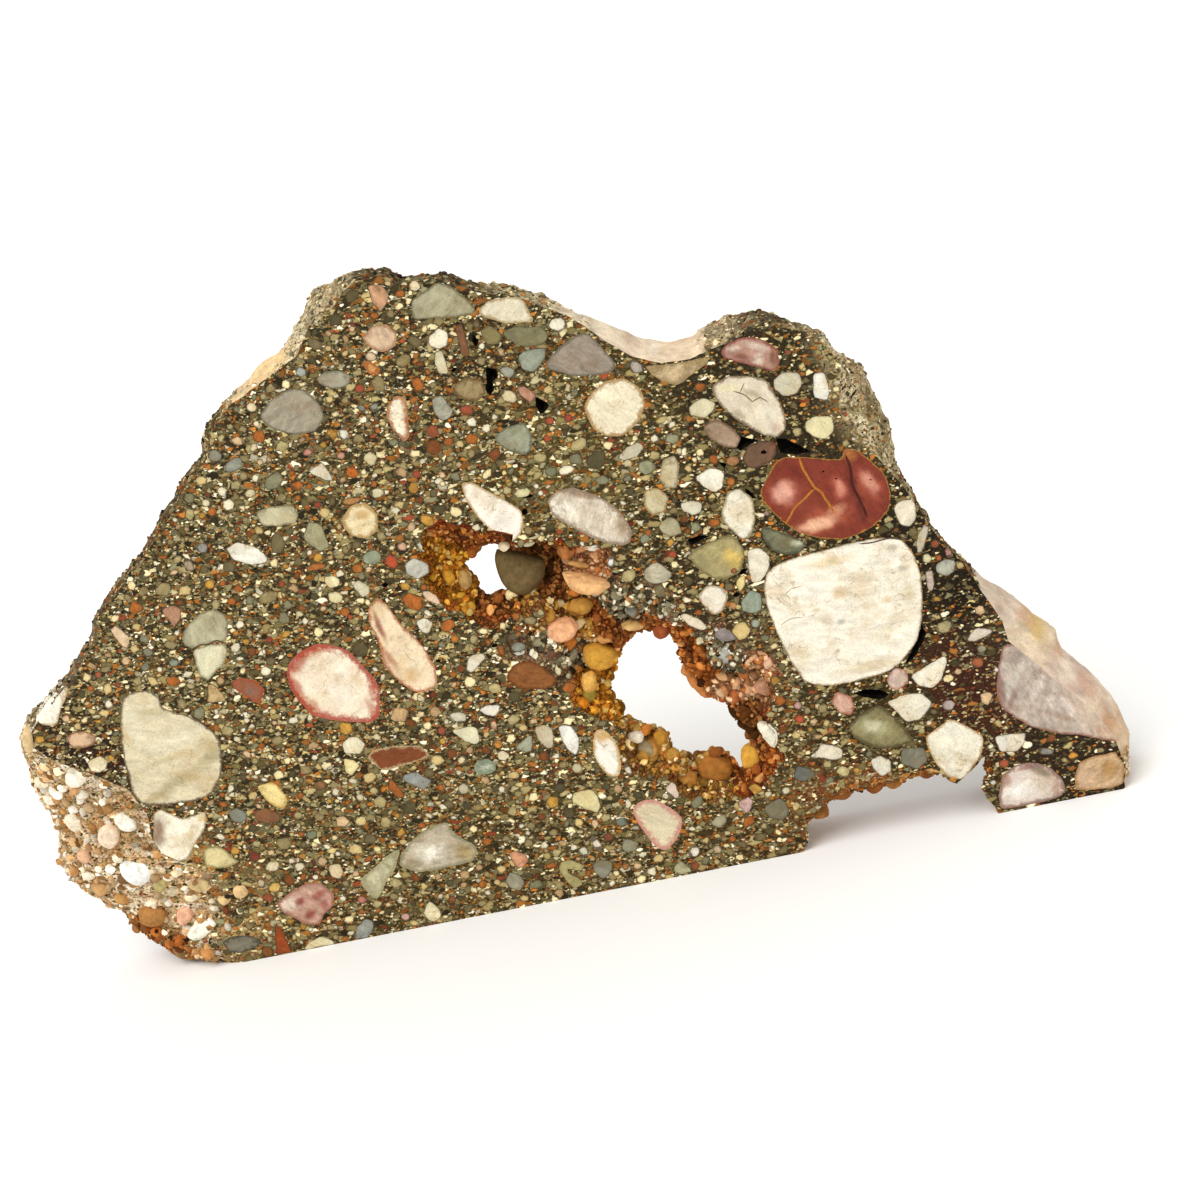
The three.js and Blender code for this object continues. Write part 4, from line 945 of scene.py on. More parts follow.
# %% Throw the small pebbles
SMALL_COLOURS = [
    # kind, colour, share of the small pebbles
    ("siltstone", "#9d8c61", 13), ("siltstone", "#baaa77", 12), ("siltstone", "#776a49", 11),
    ("siltstone", "#878466", 6), ("siltstone", "#564e35", 7), ("ironstone", "#b5692e", 7),
    ("ironstone", "#874e28", 6), ("ironstone", "#cd9b45", 5), ("quartz", "#ffecb3", 10),
    ("quartz", "#f0e6c6", 12), ("quartz", "#d6bd80", 9), ("jasper", "#96502f", 1.2),
    ("quartzite", "#c3a071", 5), ("quartzite", "#e4c092", 4),
]
SMALL_SIZES = [(16, 1.1, 1.5), (110, 0.75, 1.1), (480, 0.5, 0.75), (720, 0.36, 0.5)]  # count, radii in mm
SMALL_GAP = 0.11  # mm of cement left between two of them
LOOK_ROUND = 3.6  # mm: side of the squares in which neighbours are looked for


def inside_loop(flat, loop):
    """Crossing count: a point is inside where a line to its right meets the loop an odd number of times."""
    x, z = flat[:, 0][:, None], flat[:, 1][:, None]
    x0, z0 = loop[:, 0], loop[:, 1]
    x1, z1 = np.roll(x0, -1), np.roll(z0, -1)
    crosses = (z0 > z) != (z1 > z)
    meets = x0 + (z - z0) * (x1 - x0) / np.where(z1 == z0, 1e-9, z1 - z0)
    return (crosses & (x < meets)).sum(1) % 2 == 1


def nearest_distance(flat, loops):
    """Distance from each (x, z) to the nearest point of any loop, by a k-d tree."""
    every = np.vstack(loops)
    tree = KDTree(len(every))
    for number, (x, z) in enumerate(every):
        tree.insert((x, z, 0), number)
    tree.balance()
    return np.array([tree.find((x, z, 0))[2] for x, z in flat])


def throw_small(edge_loop, holes, taken, seed, sizes, tries=60000):
    """Largest first, each radius takes the next thrown place that clears the loops and its neighbours."""
    rng = np.random.default_rng(seed)
    low, high = edge_loop.min(0), edge_loop.max(0)
    places = rng.uniform(low, high, (tries, 2))
    places = places[inside_loop(places, edge_loop) & (hollow_depth(places) == 0)]
    for loop in holes + taken:
        near = np.all((places > loop.min(0)) & (places < loop.max(0)), axis=1)
        near[near] = inside_loop(places[near], loop)
        places = places[~near]
    room = nearest_distance(places, [edge_loop] + holes + taken)
    radii = np.concatenate([np.sort(rng.uniform(least, most, count))[::-1] for count, least, most in sizes])
    shares = np.array([share for _, _, share in SMALL_COLOURS], float)
    colours = rng.choice(len(SMALL_COLOURS), len(radii), p=shares / shares.sum())
    cells, kept, number = {}, [], 0
    for (x, z), free in zip(places, room):
        if number >= len(radii):
            break
        radius = radii[number]
        if free < radius * 0.9 + SMALL_GAP:
            continue
        i, j = int(x // LOOK_ROUND), int(z // LOOK_ROUND)
        beside = [s for a in (-1, 0, 1) for b in (-1, 0, 1) for s in cells.get((i + a, j + b), [])]
        if any(math.hypot(x - sx, z - sz) < radius + sr + SMALL_GAP for sx, sz, sr in beside):
            continue
        cells.setdefault((i, j), []).append((x, z, radius))
        kind, colour, _ = SMALL_COLOURS[colours[number]]
        size = (2.1 * radius, 2.1 * radius * rng.uniform(0.55, 1.0))
        loop = angular_round((x, z), size, rng.normal(0.1, 0.7), rng, rng.integers(5, 8))
        if radius > 1:
            loop = rounded(loop, 0.12, 1)
        kept.append({"kind": kind, "core": colour, "rind": "", "width": 0.0, "loop": counter_clockwise(loop)})
        number += 1
    return kept


front_loop = rim[0][:, [0, 2]]
lip_loops = [wall[0][:, [0, 2]] for wall in hole_walls]
taken = [shape["loop"] for shape in named + gaps]
small = throw_small(front_loop, lip_loops, taken, 3, SMALL_SIZES)
print("small pebbles on the front:", len(small))

# %% [markdown]
# ## Where the stone changes colour
#
# The cement isn't one colour. It is dark olive-brown in the body, yellower above the hollow, nearly
# black at the right, and tan where the lower left broke open. Each zone is a middle, a reach and a
# colour, and a place takes a mean of all zones, weighted by how near they are for their reach. In the
# hollow and on the break a zone names a palette instead: the stones and dust that gather there.

# %% Palettes and zones
def linear(code):
    """sRGB hex to linear: the standard curve, (c + 0.055) / 1.055 to the power 2.4 above 0.04045."""
    values = np.array([int(code.lstrip("#")[k:k + 2], 16) / 255 for k in (0, 2, 4)])
    return np.where(values <= 0.04045, values / 12.92, ((values + 0.055) / 1.055) ** 2.4)


PALETTES = {name: np.array([linear(code) for code in codes.split()]) for name, codes in {
    "ochre": "#e3a83a #d0902c #c07c28 #e8b84a #a06a20 #efcb70 #8a5818 #d9a040 #b8701e",
    "rust": "#9a5424 #b8682c #74401a #c47c3a #a4602a #cf9456 #54301a #7e4822",
    "maroon": "#74441f #8a5226 #9a6030 #50301a #a86c3a #42280f #ba8448",
    "flesh": "#cfa078 #b88860 #dfb890 #a8744a #8c6240 #e8caa0 #b46e3a",
    "grey": "#8a8266 #b8ae8c #574f3a #e6dcbe #3c3524 #b07c46 #f4ead0 #2a2417 #80603a #726a4e",
    "tan": "#d0a04c #bc8a3a #a47c38 #e0c07c #8a6428 #ecd6a0 #b46e30 #7c5a30",
    "tan_rubble": "#e6d6b4 #f4ead4 #c8a478 #d8b88c #b88a54 #a07a50 #ecdcbc #cda070 #f6eee0 #966c3c",
    "dark_rubble": "#453c2c #807a5c #645e44 #332c20 #96592a #c6b98c #544530 #7c4a2a #241f18",
    "pale_rubble": "#d8c8ac #e3d6bc #c4b294 #ecdfc8 #a89878 #cdbb98 #e8dcc4",
    "dusty_rubble": "#b0a07c #8f8060 #c8b892 #6a5f48 #dccca4 #9a784e #4c4534",
    "rust_rubble": "#a8602a #8a4a22 #b87e3e #643a1e #c48c4a #9a5c2c #462a18",
}.items()}
FACE_ZONES = read_rows(
    # x, z, reach, colour of the cement, share of its sand that shows as grains
    "25 65 18 #372e1d 1, 8 45 16 #342c1a 1, 32 42 16 #332a19 1, 48 78 10 #342c1a 0.9, 60 61 8 #524520 0.9, "
    "52 62 6 #4a3e1e 0.9, 68 62 6 #463a1b 0.85, 45 12 16 #3d2f16 1, 18 18 14 #382c19 1, "
    "20 3 7 #463519 0.9, 42 2 6 #423117 0.9, 66 4 8 #3f2f17 0.9, 0 8 4 #bc945c 0.7, -4 14 4 #bc945c 0.7, "
    "4 11 3 #97703d 0.8, -5 30 5 #3f2c1a 0.8, -11 34 5 #322016 0.6, 86 62 8 #332a19 0.45, "
    "96 60 3 #67573b 0.5, 102 36 5 #281f13 0.35, 104 18 5 #412318 0.35, 94 14 7 #3c2f18 0.6, "
    "116 7 4 #302417 0.35, 112 26 4 #3a2e20 0.4, 84 6 4 #7b451e 0.8, 75 44 8 #352a18 0.7, "
    "75 55 7 #392e19 0.7, 46 35 7 #302618 0.9, 38 52 4 #52361b 0.9, 77 29 4 #463523 0.8, "
    "106 32 3 #221910 0.3, -14 46 3 #524637 0.7, 90 56 4 #302717 0.3, -6 4 3 #7e5c36 0.8, "
    "90 8.4 3 #8a4a24 0.7, 96.6 67 1.8 #a8966c 0.5, 96.8 62.5 1.8 #a8966c 0.5, 97.2 58 1.6 #a8966c 0.5"
)
HOLLOW_PLACES = {
    "ochre": [(41, 50.5), (40, 45.6), (42, 43), (55.5, 28.5), (53.5, 25.5), (56, 24)],
    "rust": [(45, 54), (48, 53.5), (58, 50), (59, 37), (67.4, 34.8), (48, 40.5), (72.6, 10.8), (76.6, 13),
             (70, 29)],
    "maroon": [(54.5, 49), (53.5, 43.5), (74.8, 20.5), (75.7, 16), (46, 43)],
    "flesh": [(73.8, 24.5), (78, 26.5), (60, 46.5)],
    "grey": [(65.5, 39.5), (62.5, 41), (68, 37.3), (50.9, 36.5), (47.5, 37.5), (54.5, 33.5), (73, 31),
             (75.5, 29.5), (52, 31.5), (50.5, 33)],
    "tan": [(57, 40), (60, 20.5), (62, 17), (65, 14.5), (69, 12), (50, 42), (57, 36)],
}
HOLLOW_ZONES = [(x, z, 3, name) for name, places in HOLLOW_PLACES.items() for x, z in places]
RIM_ZONES = read_rows(
    # x, z, reach, colour of the dust, palette of the stones in it, surface
    "-9 1 4 #7c4c22 rust_rubble broken, -14 5 4 #8a5526 rust_rubble broken, "
    "-20 12 4 #93602e tan_rubble broken, -6 9 4 #c09a6a tan_rubble broken, "
    "-13 14 5 #c8a47a tan_rubble broken, -18 20 4 #c29c70 tan_rubble broken, "
    "-3 15 3 #c4a070 tan_rubble broken, -14 26 4 #b89870 tan_rubble broken, "
    "-20 30 4 #b09670 tan_rubble broken, -21 36 3 #cdb68a tan_rubble broken, "
    "-17 40 3 #8c7a5c dusty_rubble broken, -14 43 3 #6a5e48 dark_rubble broken, "
    "-12 46.5 3 #77706a dark_rubble broken, -7 50 4 #6c5f4c dark_rubble broken, "
    "0 57 5 #4a402e dark_rubble broken, 9 65 5 #463c2b dark_rubble broken, "
    "16 73 4 #54472f dark_rubble broken, 25 80 3 #d6bd92 pale_rubble cobble, "
    "30 81.5 3 #cdb48c pale_rubble broken, 32 85 3 #b8a988 dusty_rubble broken, "
    "36 88 3 #b8a988 dusty_rubble broken, 44 89 4 #504838 dark_rubble broken, "
    "52 86 4 #544a38 dark_rubble broken, 60 82 4 #8c8266 dusty_rubble broken, "
    "67 77 3 #cfc2a8 pale_rubble cobble, 71 73.6 4 #ddccb4 pale_rubble cobble, "
    "77 71.4 4 #d6c0a4 pale_rubble cobble, 83 72.4 3 #a89478 dusty_rubble broken, "
    "89 73 4 #564e3e dark_rubble broken, 95 69 4 #6c6048 dusty_rubble broken, "
    "97.5 63 4 #b8a27c dusty_rubble broken, 98.4 57 4 #a8946c dusty_rubble broken, "
    "101 51 4 #9a8a64 dusty_rubble broken, 103 44 4 #564836 dark_rubble broken, "
    "106 36 4 #33291f dark_rubble broken, 110 29 3 #cdbba8 pale_rubble cobble, "
    "115 23 4 #dac6aa pale_rubble cobble, 118 17 4 #c9b0a2 pale_rubble cobble, "
    "121 12 4 #d2bca6 pale_rubble cobble, 123 7 3 #cfb292 pale_rubble cobble, "
    "122 2 3 #bd9870 tan_rubble broken, 104 5 3 #54422c rust_rubble broken, "
    "98 7 3 #9a6c3c rust_rubble broken, 90 6 4 #8a5228 rust_rubble broken, "
    "82 4 4 #96602f rust_rubble broken, 78 1 3 #a06c3c tan_rubble broken, "
    "20 0 16 #4c4029 dark_rubble sawn, 60 0 16 #4c4029 dark_rubble sawn, -4 0 5 #8c6c42 tan_rubble sawn, "
    "113 0 9 #84725c tan_rubble sawn"
)
DUST_PAINTED_SHADE_AND_RUST = np.array([0.52, 0.4, 0.3])  # the hollow's dust: darker as a painted shade between its loose grains, and redder with rust than its stones
FACE_COLOURS = np.array([linear(zone[3]) for zone in FACE_ZONES])
FACE_SAND = np.array([zone[4] for zone in FACE_ZONES])
HOLLOW_COLOURS = np.array([PALETTES[zone[3]].mean(0) for zone in HOLLOW_ZONES]) * DUST_PAINTED_SHADE_AND_RUST
HOLLOW_NAMES = [zone[3] for zone in HOLLOW_ZONES]
RIM_COLOURS = np.array([linear(zone[3]) for zone in RIM_ZONES])
RIM_NAMES = [zone[4] for zone in RIM_ZONES]


def zone_shares(flat, zones, unevenness=1.6):
    """Each zone's weight at (x, z): the inverse sixth power of distance over reach, made to sum to 1."""
    place = on_face(flat)
    push = np.stack([noise(place, 3.0, 71), noise(place, 3.0, 72)], -1) * unevenness
    middles = np.array([zone[:2] for zone in zones], float)
    reaches = np.array([zone[2] for zone in zones], float)
    gap = np.linalg.norm((flat + push)[:, None] - middles, axis=2) / reaches
    weight = 1 / (gap**6 + 0.01)
    return weight / weight.sum(1, keepdims=True)


def stone_colours(names, chances):
    """For each palette name, the palette's colour number floor(chance · length)."""
    return np.array([PALETTES[name][int(c * len(PALETTES[name]))] for name, c in zip(names, chances)])


print("cement at the middle:", (zone_shares(np.array([[40.0, 40.0]]), FACE_ZONES) @ FACE_COLOURS).round(3))

# %% [markdown]
# ## Building meshes from arrays
#
# Every piece below ends as points and triangles in numpy. One function puts them into a mesh with
# foreach_set, together with what the materials read at each triangle corner: a tint, a rind (its
# width in the fourth number), the distance inside the pebble's outline, and a chance number.

# %% Mesh from arrays
def weld(parts):
    """Joins (points, triangles) parts and merges points that are exactly the same."""
    offsets = np.cumsum([0] + [len(points) for points, _ in parts[:-1]])
    points = np.vstack([points for points, _ in parts])
    triangles = np.vstack([triangles + offset for (_, triangles), offset in zip(parts, offsets)])
    unique, where = np.unique(points, axis=0, return_inverse=True)
    return unique, where.ravel()[triangles]


def make_piece(name, points, triangles, corner_data, materials, slots=None, sharp=35):
    """Points in slab millimetres to a mesh in metres, with corner attributes and material slots."""
    mesh = bpy.data.meshes.new(name)
    mesh.vertices.add(len(points))
    mesh.vertices.foreach_set("co", metres(points).astype(np.float32).ravel())
    mesh.loops.add(triangles.size)
    mesh.loops.foreach_set("vertex_index", triangles.astype(np.int32).ravel())
    mesh.polygons.add(len(triangles))
    mesh.polygons.foreach_set("loop_start", np.arange(0, triangles.size, 3, dtype=np.int32))
    if slots is not None:
        mesh.polygons.foreach_set("material_index", slots.astype(np.int32))
    for key, values in corner_data.items():
        values = np.asarray(values, np.float32)
        kind = "FLOAT_COLOR" if values.ndim == 2 else "FLOAT"
        layer = mesh.attributes.new(key, kind, "CORNER")
        layer.data.foreach_set("color" if values.ndim == 2 else "value", values.ravel())
    mesh.update(calc_edges=True)
    mesh.polygons.foreach_set("use_smooth", np.ones(len(triangles), bool))
    mesh.set_sharp_from_angle(angle=math.radians(sharp))
    for material in materials:
        mesh.materials.append(material)
    piece = bpy.data.objects.new(name, mesh)
    bpy.context.scene.collection.objects.link(piece)
    print(f"{name}: {len(points)} points, {len(triangles)} triangles")
    return piece


def grid_triangles(rings, columns):
    """Two triangles for each cell of a grid that closes on itself along its columns."""
    row, column = np.meshgrid(np.arange(rings - 1), np.arange(columns), indexing="ij")
    here = row * columns + column
    beside = row * columns + (column + 1) % columns
    pairs = [[here, beside, beside + columns], [here, beside + columns, here + columns]]
    return np.stack([np.stack(three, -1) for three in pairs], 2).reshape(-1, 3)


# %% [markdown]
# ## The two sawn faces
#
# A sawn face has to carry a thousand crisp outlines and, at the front, sink into the hollow. A
# constrained Delaunay triangulation does both: every outline becomes real edges, and each triangle
# knows which pebble it lies in. Extra points give big pebbles room for stains, and a dense net of
# points in the hollow takes its depth. A pebble that isn't in the hollow keeps its whole face level,
# so the hollow ends in a steep wall beside it, and a gap sinks from its own outline.

# %% Triangulate a sawn face
SLOT = {name: number for number, name in enumerate(
    ("matrix", "quartz", "quartzite", "siltstone", "ironstone", "jasper", "broken", "crust", "cobble"))}
# a gap or pit takes the crust's material with its near-black tint, a painted shade
SLOT.update(vein=SLOT["ironstone"], void=SLOT["crust"])
SUNK = 0.12  # mm: cement deeper than this on average is crust
LOOSE_STEP, HOLLOW_STEP, TIGHT_STEP = 1.5, 0.38, 0.24  # mm between points: face, hollow, gaps and patches
HOLLOW_LOW, HOLLOW_HIGH = np.array([37.0, 7.0]), np.array([84.0, 60.0])  # x, z of a box round the hollow
LIP = 1.2  # mm: a pebble keeps its polished face if the hollow is shallower than this at its middle


def net(low, high, step, rng):
    """A square net of points, each jittered by a third of a step."""
    x, z = np.meshgrid(np.arange(low[0], high[0], step), np.arange(low[1], high[1], step))
    flat = np.stack([x.ravel(), z.ravel()], -1)
    return flat + rng.uniform(-step / 3, step / 3, flat.shape)


def outline_distance(flat, loop):
    """Distance from each (x, z) to the nearest side of the loop: to a + t(b − a), with t held in 0…1."""
    start, side = loop, np.roll(loop, -1, axis=0) - loop
    to_point = flat[:, None] - start
    t = np.clip((to_point * side).sum(2) / ((side * side).sum(1) + 1e-12), 0, 1)
    return np.linalg.norm(to_point - t[..., None] * side, axis=2).min(1)


def extra_points(loops, pebbles, low, high, front, rng):
    """Points that no outline gives: a loose net everywhere, dense ones in the hollow, the gaps and the
    patches, two inner rings and a middle for each pebble, and a spine for a slender one."""
    loose = [net(low, high, LOOSE_STEP, rng)]
    if front:
        fine = net(HOLLOW_LOW, HOLLOW_HIGH, HOLLOW_STEP, rng)
        loose.append(fine[hollow_depth(fine) > 0.02])
        for gap in gaps:
            tight = net(gap["loop"].min(0), gap["loop"].max(0), TIGHT_STEP, rng)
            loose.append(tight[inside_loop(tight, gap["loop"])])
        for x, z, half_x, half_z, _, _, _ in STAINS_AND_PAINTED_HIGHLIGHTS:
            reach = np.array([half_x, half_z]).max() * 1.2
            step = max(TIGHT_STEP, min(half_x, half_z) / 2.5)
            loose.append(net(np.array([x, z]) - reach, np.array([x, z]) + reach, step, rng))
    loose = np.vstack(loose)
    loose = loose[nearest_distance(loose, loops) > 0.12]
    inner = []
    for pebble in pebbles:
        loop, middle = pebble["loop"], pebble["loop"].mean(0)
        reach = np.linalg.norm(loop - middle, axis=1)
        if pebble["kind"] != "vein":
            inner.append(middle[None])
        for inset in (0.3, 0.9):
            if reach.min() > inset + 0.5:
                inner.append(middle + (loop - middle) * (1 - inset / reach)[:, None])
        if pebble["kind"] in KINDS and reach.min() <= 0.8 and reach.max() > 1.3:
            spine = loop - outward(loop, 2) * 0.34
            inner.append(spine[inside_loop(spine, loop) & (outline_distance(spine, loop) > 0.2)])
    return inner + [loose]


def sewn(flat, triangles, owner, ring_places):
    """Where an outline crosses a ring, the triangulation adds a point on the ring's side. Each such
    point moves to the nearest ring point and the triangles that lose their area go, so the seam closes."""
    sides = np.sort(triangles[:, [[0, 1], [1, 2], [2, 0]]].reshape(-1, 2), axis=1)
    pairs, times = np.unique(sides, axis=0, return_counts=True)
    border = np.unique(pairs[times == 1])
    anchored = np.array([tuple(flat[number]) in ring_places for number in border])
    anchors, strays = border[anchored], border[~anchored]
    target = np.arange(len(flat))
    for stray in strays:
        target[stray] = anchors[np.linalg.norm(flat[anchors] - flat[stray], axis=1).argmin()]
    triangles = target[triangles]
    a, b, c = triangles.T
    whole = (a != b) & (b != c) & (c != a)
    print("points sewn to the seam:", len(strays))
    return triangles[whole], owner[whole]


def face_depth(flat, triangles, owner, pebbles, inside):
    """The hollow's depth; then 0 for every point of a pebble whose middle is no deeper than LIP; then
    the gaps, which sink by their slope times the distance from their outline."""
    depth = hollow_depth(flat)
    middles = np.array([pebble["loop"].mean(0) for pebble in pebbles])
    is_void = np.array([pebble["kind"] == "void" for pebble in pebbles])
    held = (hollow_depth(middles) < LIP) & ~is_void
    owned = owner >= 0
    level = np.zeros(len(owner), bool)
    level[owned] = held[owner[owned]]
    depth[triangles[level]] = 0
    empty = np.zeros(len(owner), bool)
    empty[owned] = is_void[owner[owned]]
    in_gap = np.zeros(len(flat), bool)
    in_gap[triangles[empty]] = True
    in_gap[triangles[~empty]] = False
    reach = np.zeros(len(flat))
    reach[triangles[empty]] = inside[empty]
    depth[in_gap] = np.maximum(depth[in_gap], np.minimum(GAP_DEPTH, GAP_SLOPE * reach[in_gap]))
    return depth


def sawn_face(edge, holes, pebbles, plane, seed):
    """Returns points, triangles, each triangle's owner and the distance inside it at each corner. edge
    and holes are rings of 3-D points, and a triangle takes the last pebble that covers it."""
    front = plane == 0
    rings = [np.asarray(ring) for ring in [edge] + holes]
    loops = [counter_clockwise(ring[:, [0, 2]]) for ring in rings] + [pebble["loop"] for pebble in pebbles]
    low, high = loops[0].min(0), loops[0].max(0)
    flat = np.vstack(loops + extra_points(loops, pebbles, low, high, front, np.random.default_rng(seed)))
    starts = np.cumsum([0] + [len(loop) for loop in loops])
    faces = [list(range(start, stop)) for start, stop in zip(starts[:-1], starts[1:])]
    found, _, cells, came_from, _, members = delaunay_2d_cdt(
        [Vector(p) for p in flat], [], faces, 1, 1e-6, True)
    xz = np.array([flat[origin[0]] if origin else (p.x, p.y) for p, origin in zip(found, came_from)])
    owner = np.array([
        -2 if 0 not in ids or any(0 < i < len(rings) for i in ids) else max(max(ids) - len(rings), -1)
        for ids in members
    ])
    exact = {tuple(p[[0, 2]]): p[1] for ring in rings for p in ring}
    triangles, owner = sewn(xz, np.array(cells)[owner > -2], owner[owner > -2], exact)
    inside = np.zeros(triangles.shape)
    for number, pebble in enumerate(pebbles):
        own = np.flatnonzero(owner == number)
        if len(own):
            inside[own] = outline_distance(xz[triangles[own]].reshape(-1, 2), pebble["loop"]).reshape(-1, 3)
    y = face_depth(xz, triangles, owner, pebbles, inside) if front else np.full(len(xz), float(plane))
    y = np.array([exact.get(tuple(p), level) for p, level in zip(xz, y)])
    return np.stack([xz[:, 0], y, xz[:, 1]], -1), triangles, owner, inside


def blend_patches(colours, places, patches):
    """Each patch is a soft ellipse: its strength times exp(−(u² + v²)²), with its outline pushed about by
    noise, mixes its colour in."""
    push = 0.5 * np.stack([noise(on_face(places), 1.1, 91), noise(on_face(places), 1.1, 92)], -1)
    for x, z, half_x, half_z, turn, code, strength in patches:
        angle = math.radians(turn)
        dx, dz = (places + push * min(half_x, half_z) - (x, z)).T
        u = (dx * math.cos(angle) + dz * math.sin(angle)) / half_x
        v = (dz * math.cos(angle) - dx * math.sin(angle)) / half_z
        share = (strength * np.exp(-((u * u + v * v) ** 2)))[:, None]
        colours = colours * (1 - share) + linear(code) * share
    return colours


def face_data(points, triangles, owner, inside, pebbles, front):
    """Corner tints: a pebble's own colour with its stains and painted highlights, the cement's zone, or
    the hollow's dust with its painted shade.
    """
    flat = points[:, [0, 2]]
    is_void = np.array([pebble["kind"] == "void" for pebble in pebbles])
    in_gap = (owner >= 0) & is_void[owner]
    sunk = (points[triangles, 1].mean(1) > SUNK) & ~in_gap & front
    owned = (owner >= 0) & ~sunk
    slots = np.where(sunk, SLOT["crust"], SLOT["matrix"])
    tint = np.ones((len(triangles), 3, 4))
    rind = np.zeros((len(triangles), 3, 4))
    seeds = np.zeros((len(triangles), 3))
    shares = zone_shares(flat, FACE_ZONES)
    tint[..., :3] = (shares @ FACE_COLOURS)[triangles]
    tint[..., 3] = (shares @ FACE_SAND)[triangles]
    dust = zone_shares(flat, HOLLOW_ZONES) @ HOLLOW_COLOURS
    tint[sunk, :, :3] = dust[triangles[sunk]]
    chances = np.random.default_rng(len(pebbles)).uniform(0, 1, len(pebbles))
    cores = np.array([linear(pebble["core"]) for pebble in pebbles])
    edges = [p["core"] if p["kind"] == "vein" else p["rind"] or "#4a3a22" for p in pebbles]
    rinds = np.array([[*linear(code), p["width"] if p["rind"] else 0.1] for code, p in zip(edges, pebbles)])
    kinds = np.array([SLOT[pebble["kind"]] for pebble in pebbles])
    tint[owned, :, :3] = cores[owner[owned]][:, None]
    rind[owned] = rinds[owner[owned]][:, None]
    seeds[owned] = chances[owner[owned]][:, None]
    slots[owned] = kinds[owner[owned]]
    for patch in STAINS_AND_PAINTED_HIGHLIGHTS if front else []:
        middle = np.array([patch[:2]])
        around = [number for number, p in enumerate(pebbles)
                  if p["kind"] not in ("void", "vein") and inside_loop(middle, p["loop"])[0]]
        if around:
            mine = np.flatnonzero(owned & (owner == around[-1]))
            places = flat[triangles[mine]].reshape(-1, 2)
            mixed = blend_patches(tint[mine, :, :3].reshape(-1, 3), places, [patch])
            tint[mine, :, :3] = mixed.reshape(-1, 3, 3)
    data = {
        "tint": tint.reshape(-1, 4),
        "rind": rind.reshape(-1, 4),
        "inside": inside.ravel(),
        "seed": seeds.ravel(),
    }
    return data, slots


small_middles = np.array([pebble["loop"].mean(0) for pebble in small])
sand_there = zone_shares(small_middles, FACE_ZONES) @ FACE_SAND
small_chances = np.random.default_rng(43).uniform(0, 1, len(small))
small = [pebble for pebble, sand, c in zip(small, sand_there, small_chances) if c < sand]
front_pebbles = small + gaps + named + veins + pits
front_points, front_cells, front_owner, front_inside = sawn_face(
    rim[0], [wall[0] for wall in hole_walls], front_pebbles, 0.0, 5)
front_data, front_slots = face_data(
    front_points, front_cells, front_owner, front_inside, front_pebbles, True)
print("front face:", len(front_points), "points,", len(front_cells), "triangles")

# %% [markdown]
# The back is the other side of the same slab, so the largest pebbles run right through and show there
# too, a little shifted and resized. The small ones are others. It was never polished, though here it
# takes the same polished materials as the front.

# %% Back face
CARRIED_WIDTH = 2.4  # mm: a pebble narrower than this doesn't reach the back
BACK_SIZES = [(14, 1.15, 1.5), (90, 0.8, 1.15), (420, 0.55, 0.8)]
back_rng = np.random.default_rng(11)
back_loop = rim[-1][:, [0, 2]]
back_holes = [wall[-1] for wall in hole_walls]
hole_loops = [wall[:, [0, 2]] for wall in back_holes]
carried = []
for pebble in named:
    width = np.ptp(pebble["loop"], axis=0).min()
    if width > CARRIED_WIDTH:
        middle = pebble["loop"].mean(0)
        angle = back_rng.uniform(-0.3, 0.3)
        turn = np.array([[math.cos(angle), -math.sin(angle)], [math.sin(angle), math.cos(angle)]])
        shift = back_rng.uniform(-1.2, 1.2, 2)
        shape = (pebble["loop"] - middle) @ turn.T * back_rng.uniform(0.7, 1.05, 2) + middle + shift
        inside_face = inside_loop(shape, back_loop).all()
        in_hole = any(inside_loop(shape, loop).any() for loop in hole_loops)
        if inside_face and not in_hole:
            carried.append({**pebble, "loop": counter_clockwise(shape)})
carried_loops = [pebble["loop"] for pebble in carried]
back_small = throw_small(back_loop, hole_loops, carried_loops, 13, BACK_SIZES, 40000)
back_pebbles = back_small + carried
back_points, back_cells, back_owner, back_inside = sawn_face(
    rim[-1], back_holes, back_pebbles, THICKNESS, 17)
back_data, back_slots = face_data(back_points, back_cells, back_owner, back_inside, back_pebbles, False)
print("back face:", len(back_pebbles), "pebbles,", len(back_cells), "triangles")

# %% [markdown]
# ## One closed skin
#
# The slab is one stone, so front, rim, hole walls and back are welded into one closed mesh. The rim
# and the walls carry their own tints: each packed grain takes a colour from its zone's palette, and
# the cracks between grains are in shade.

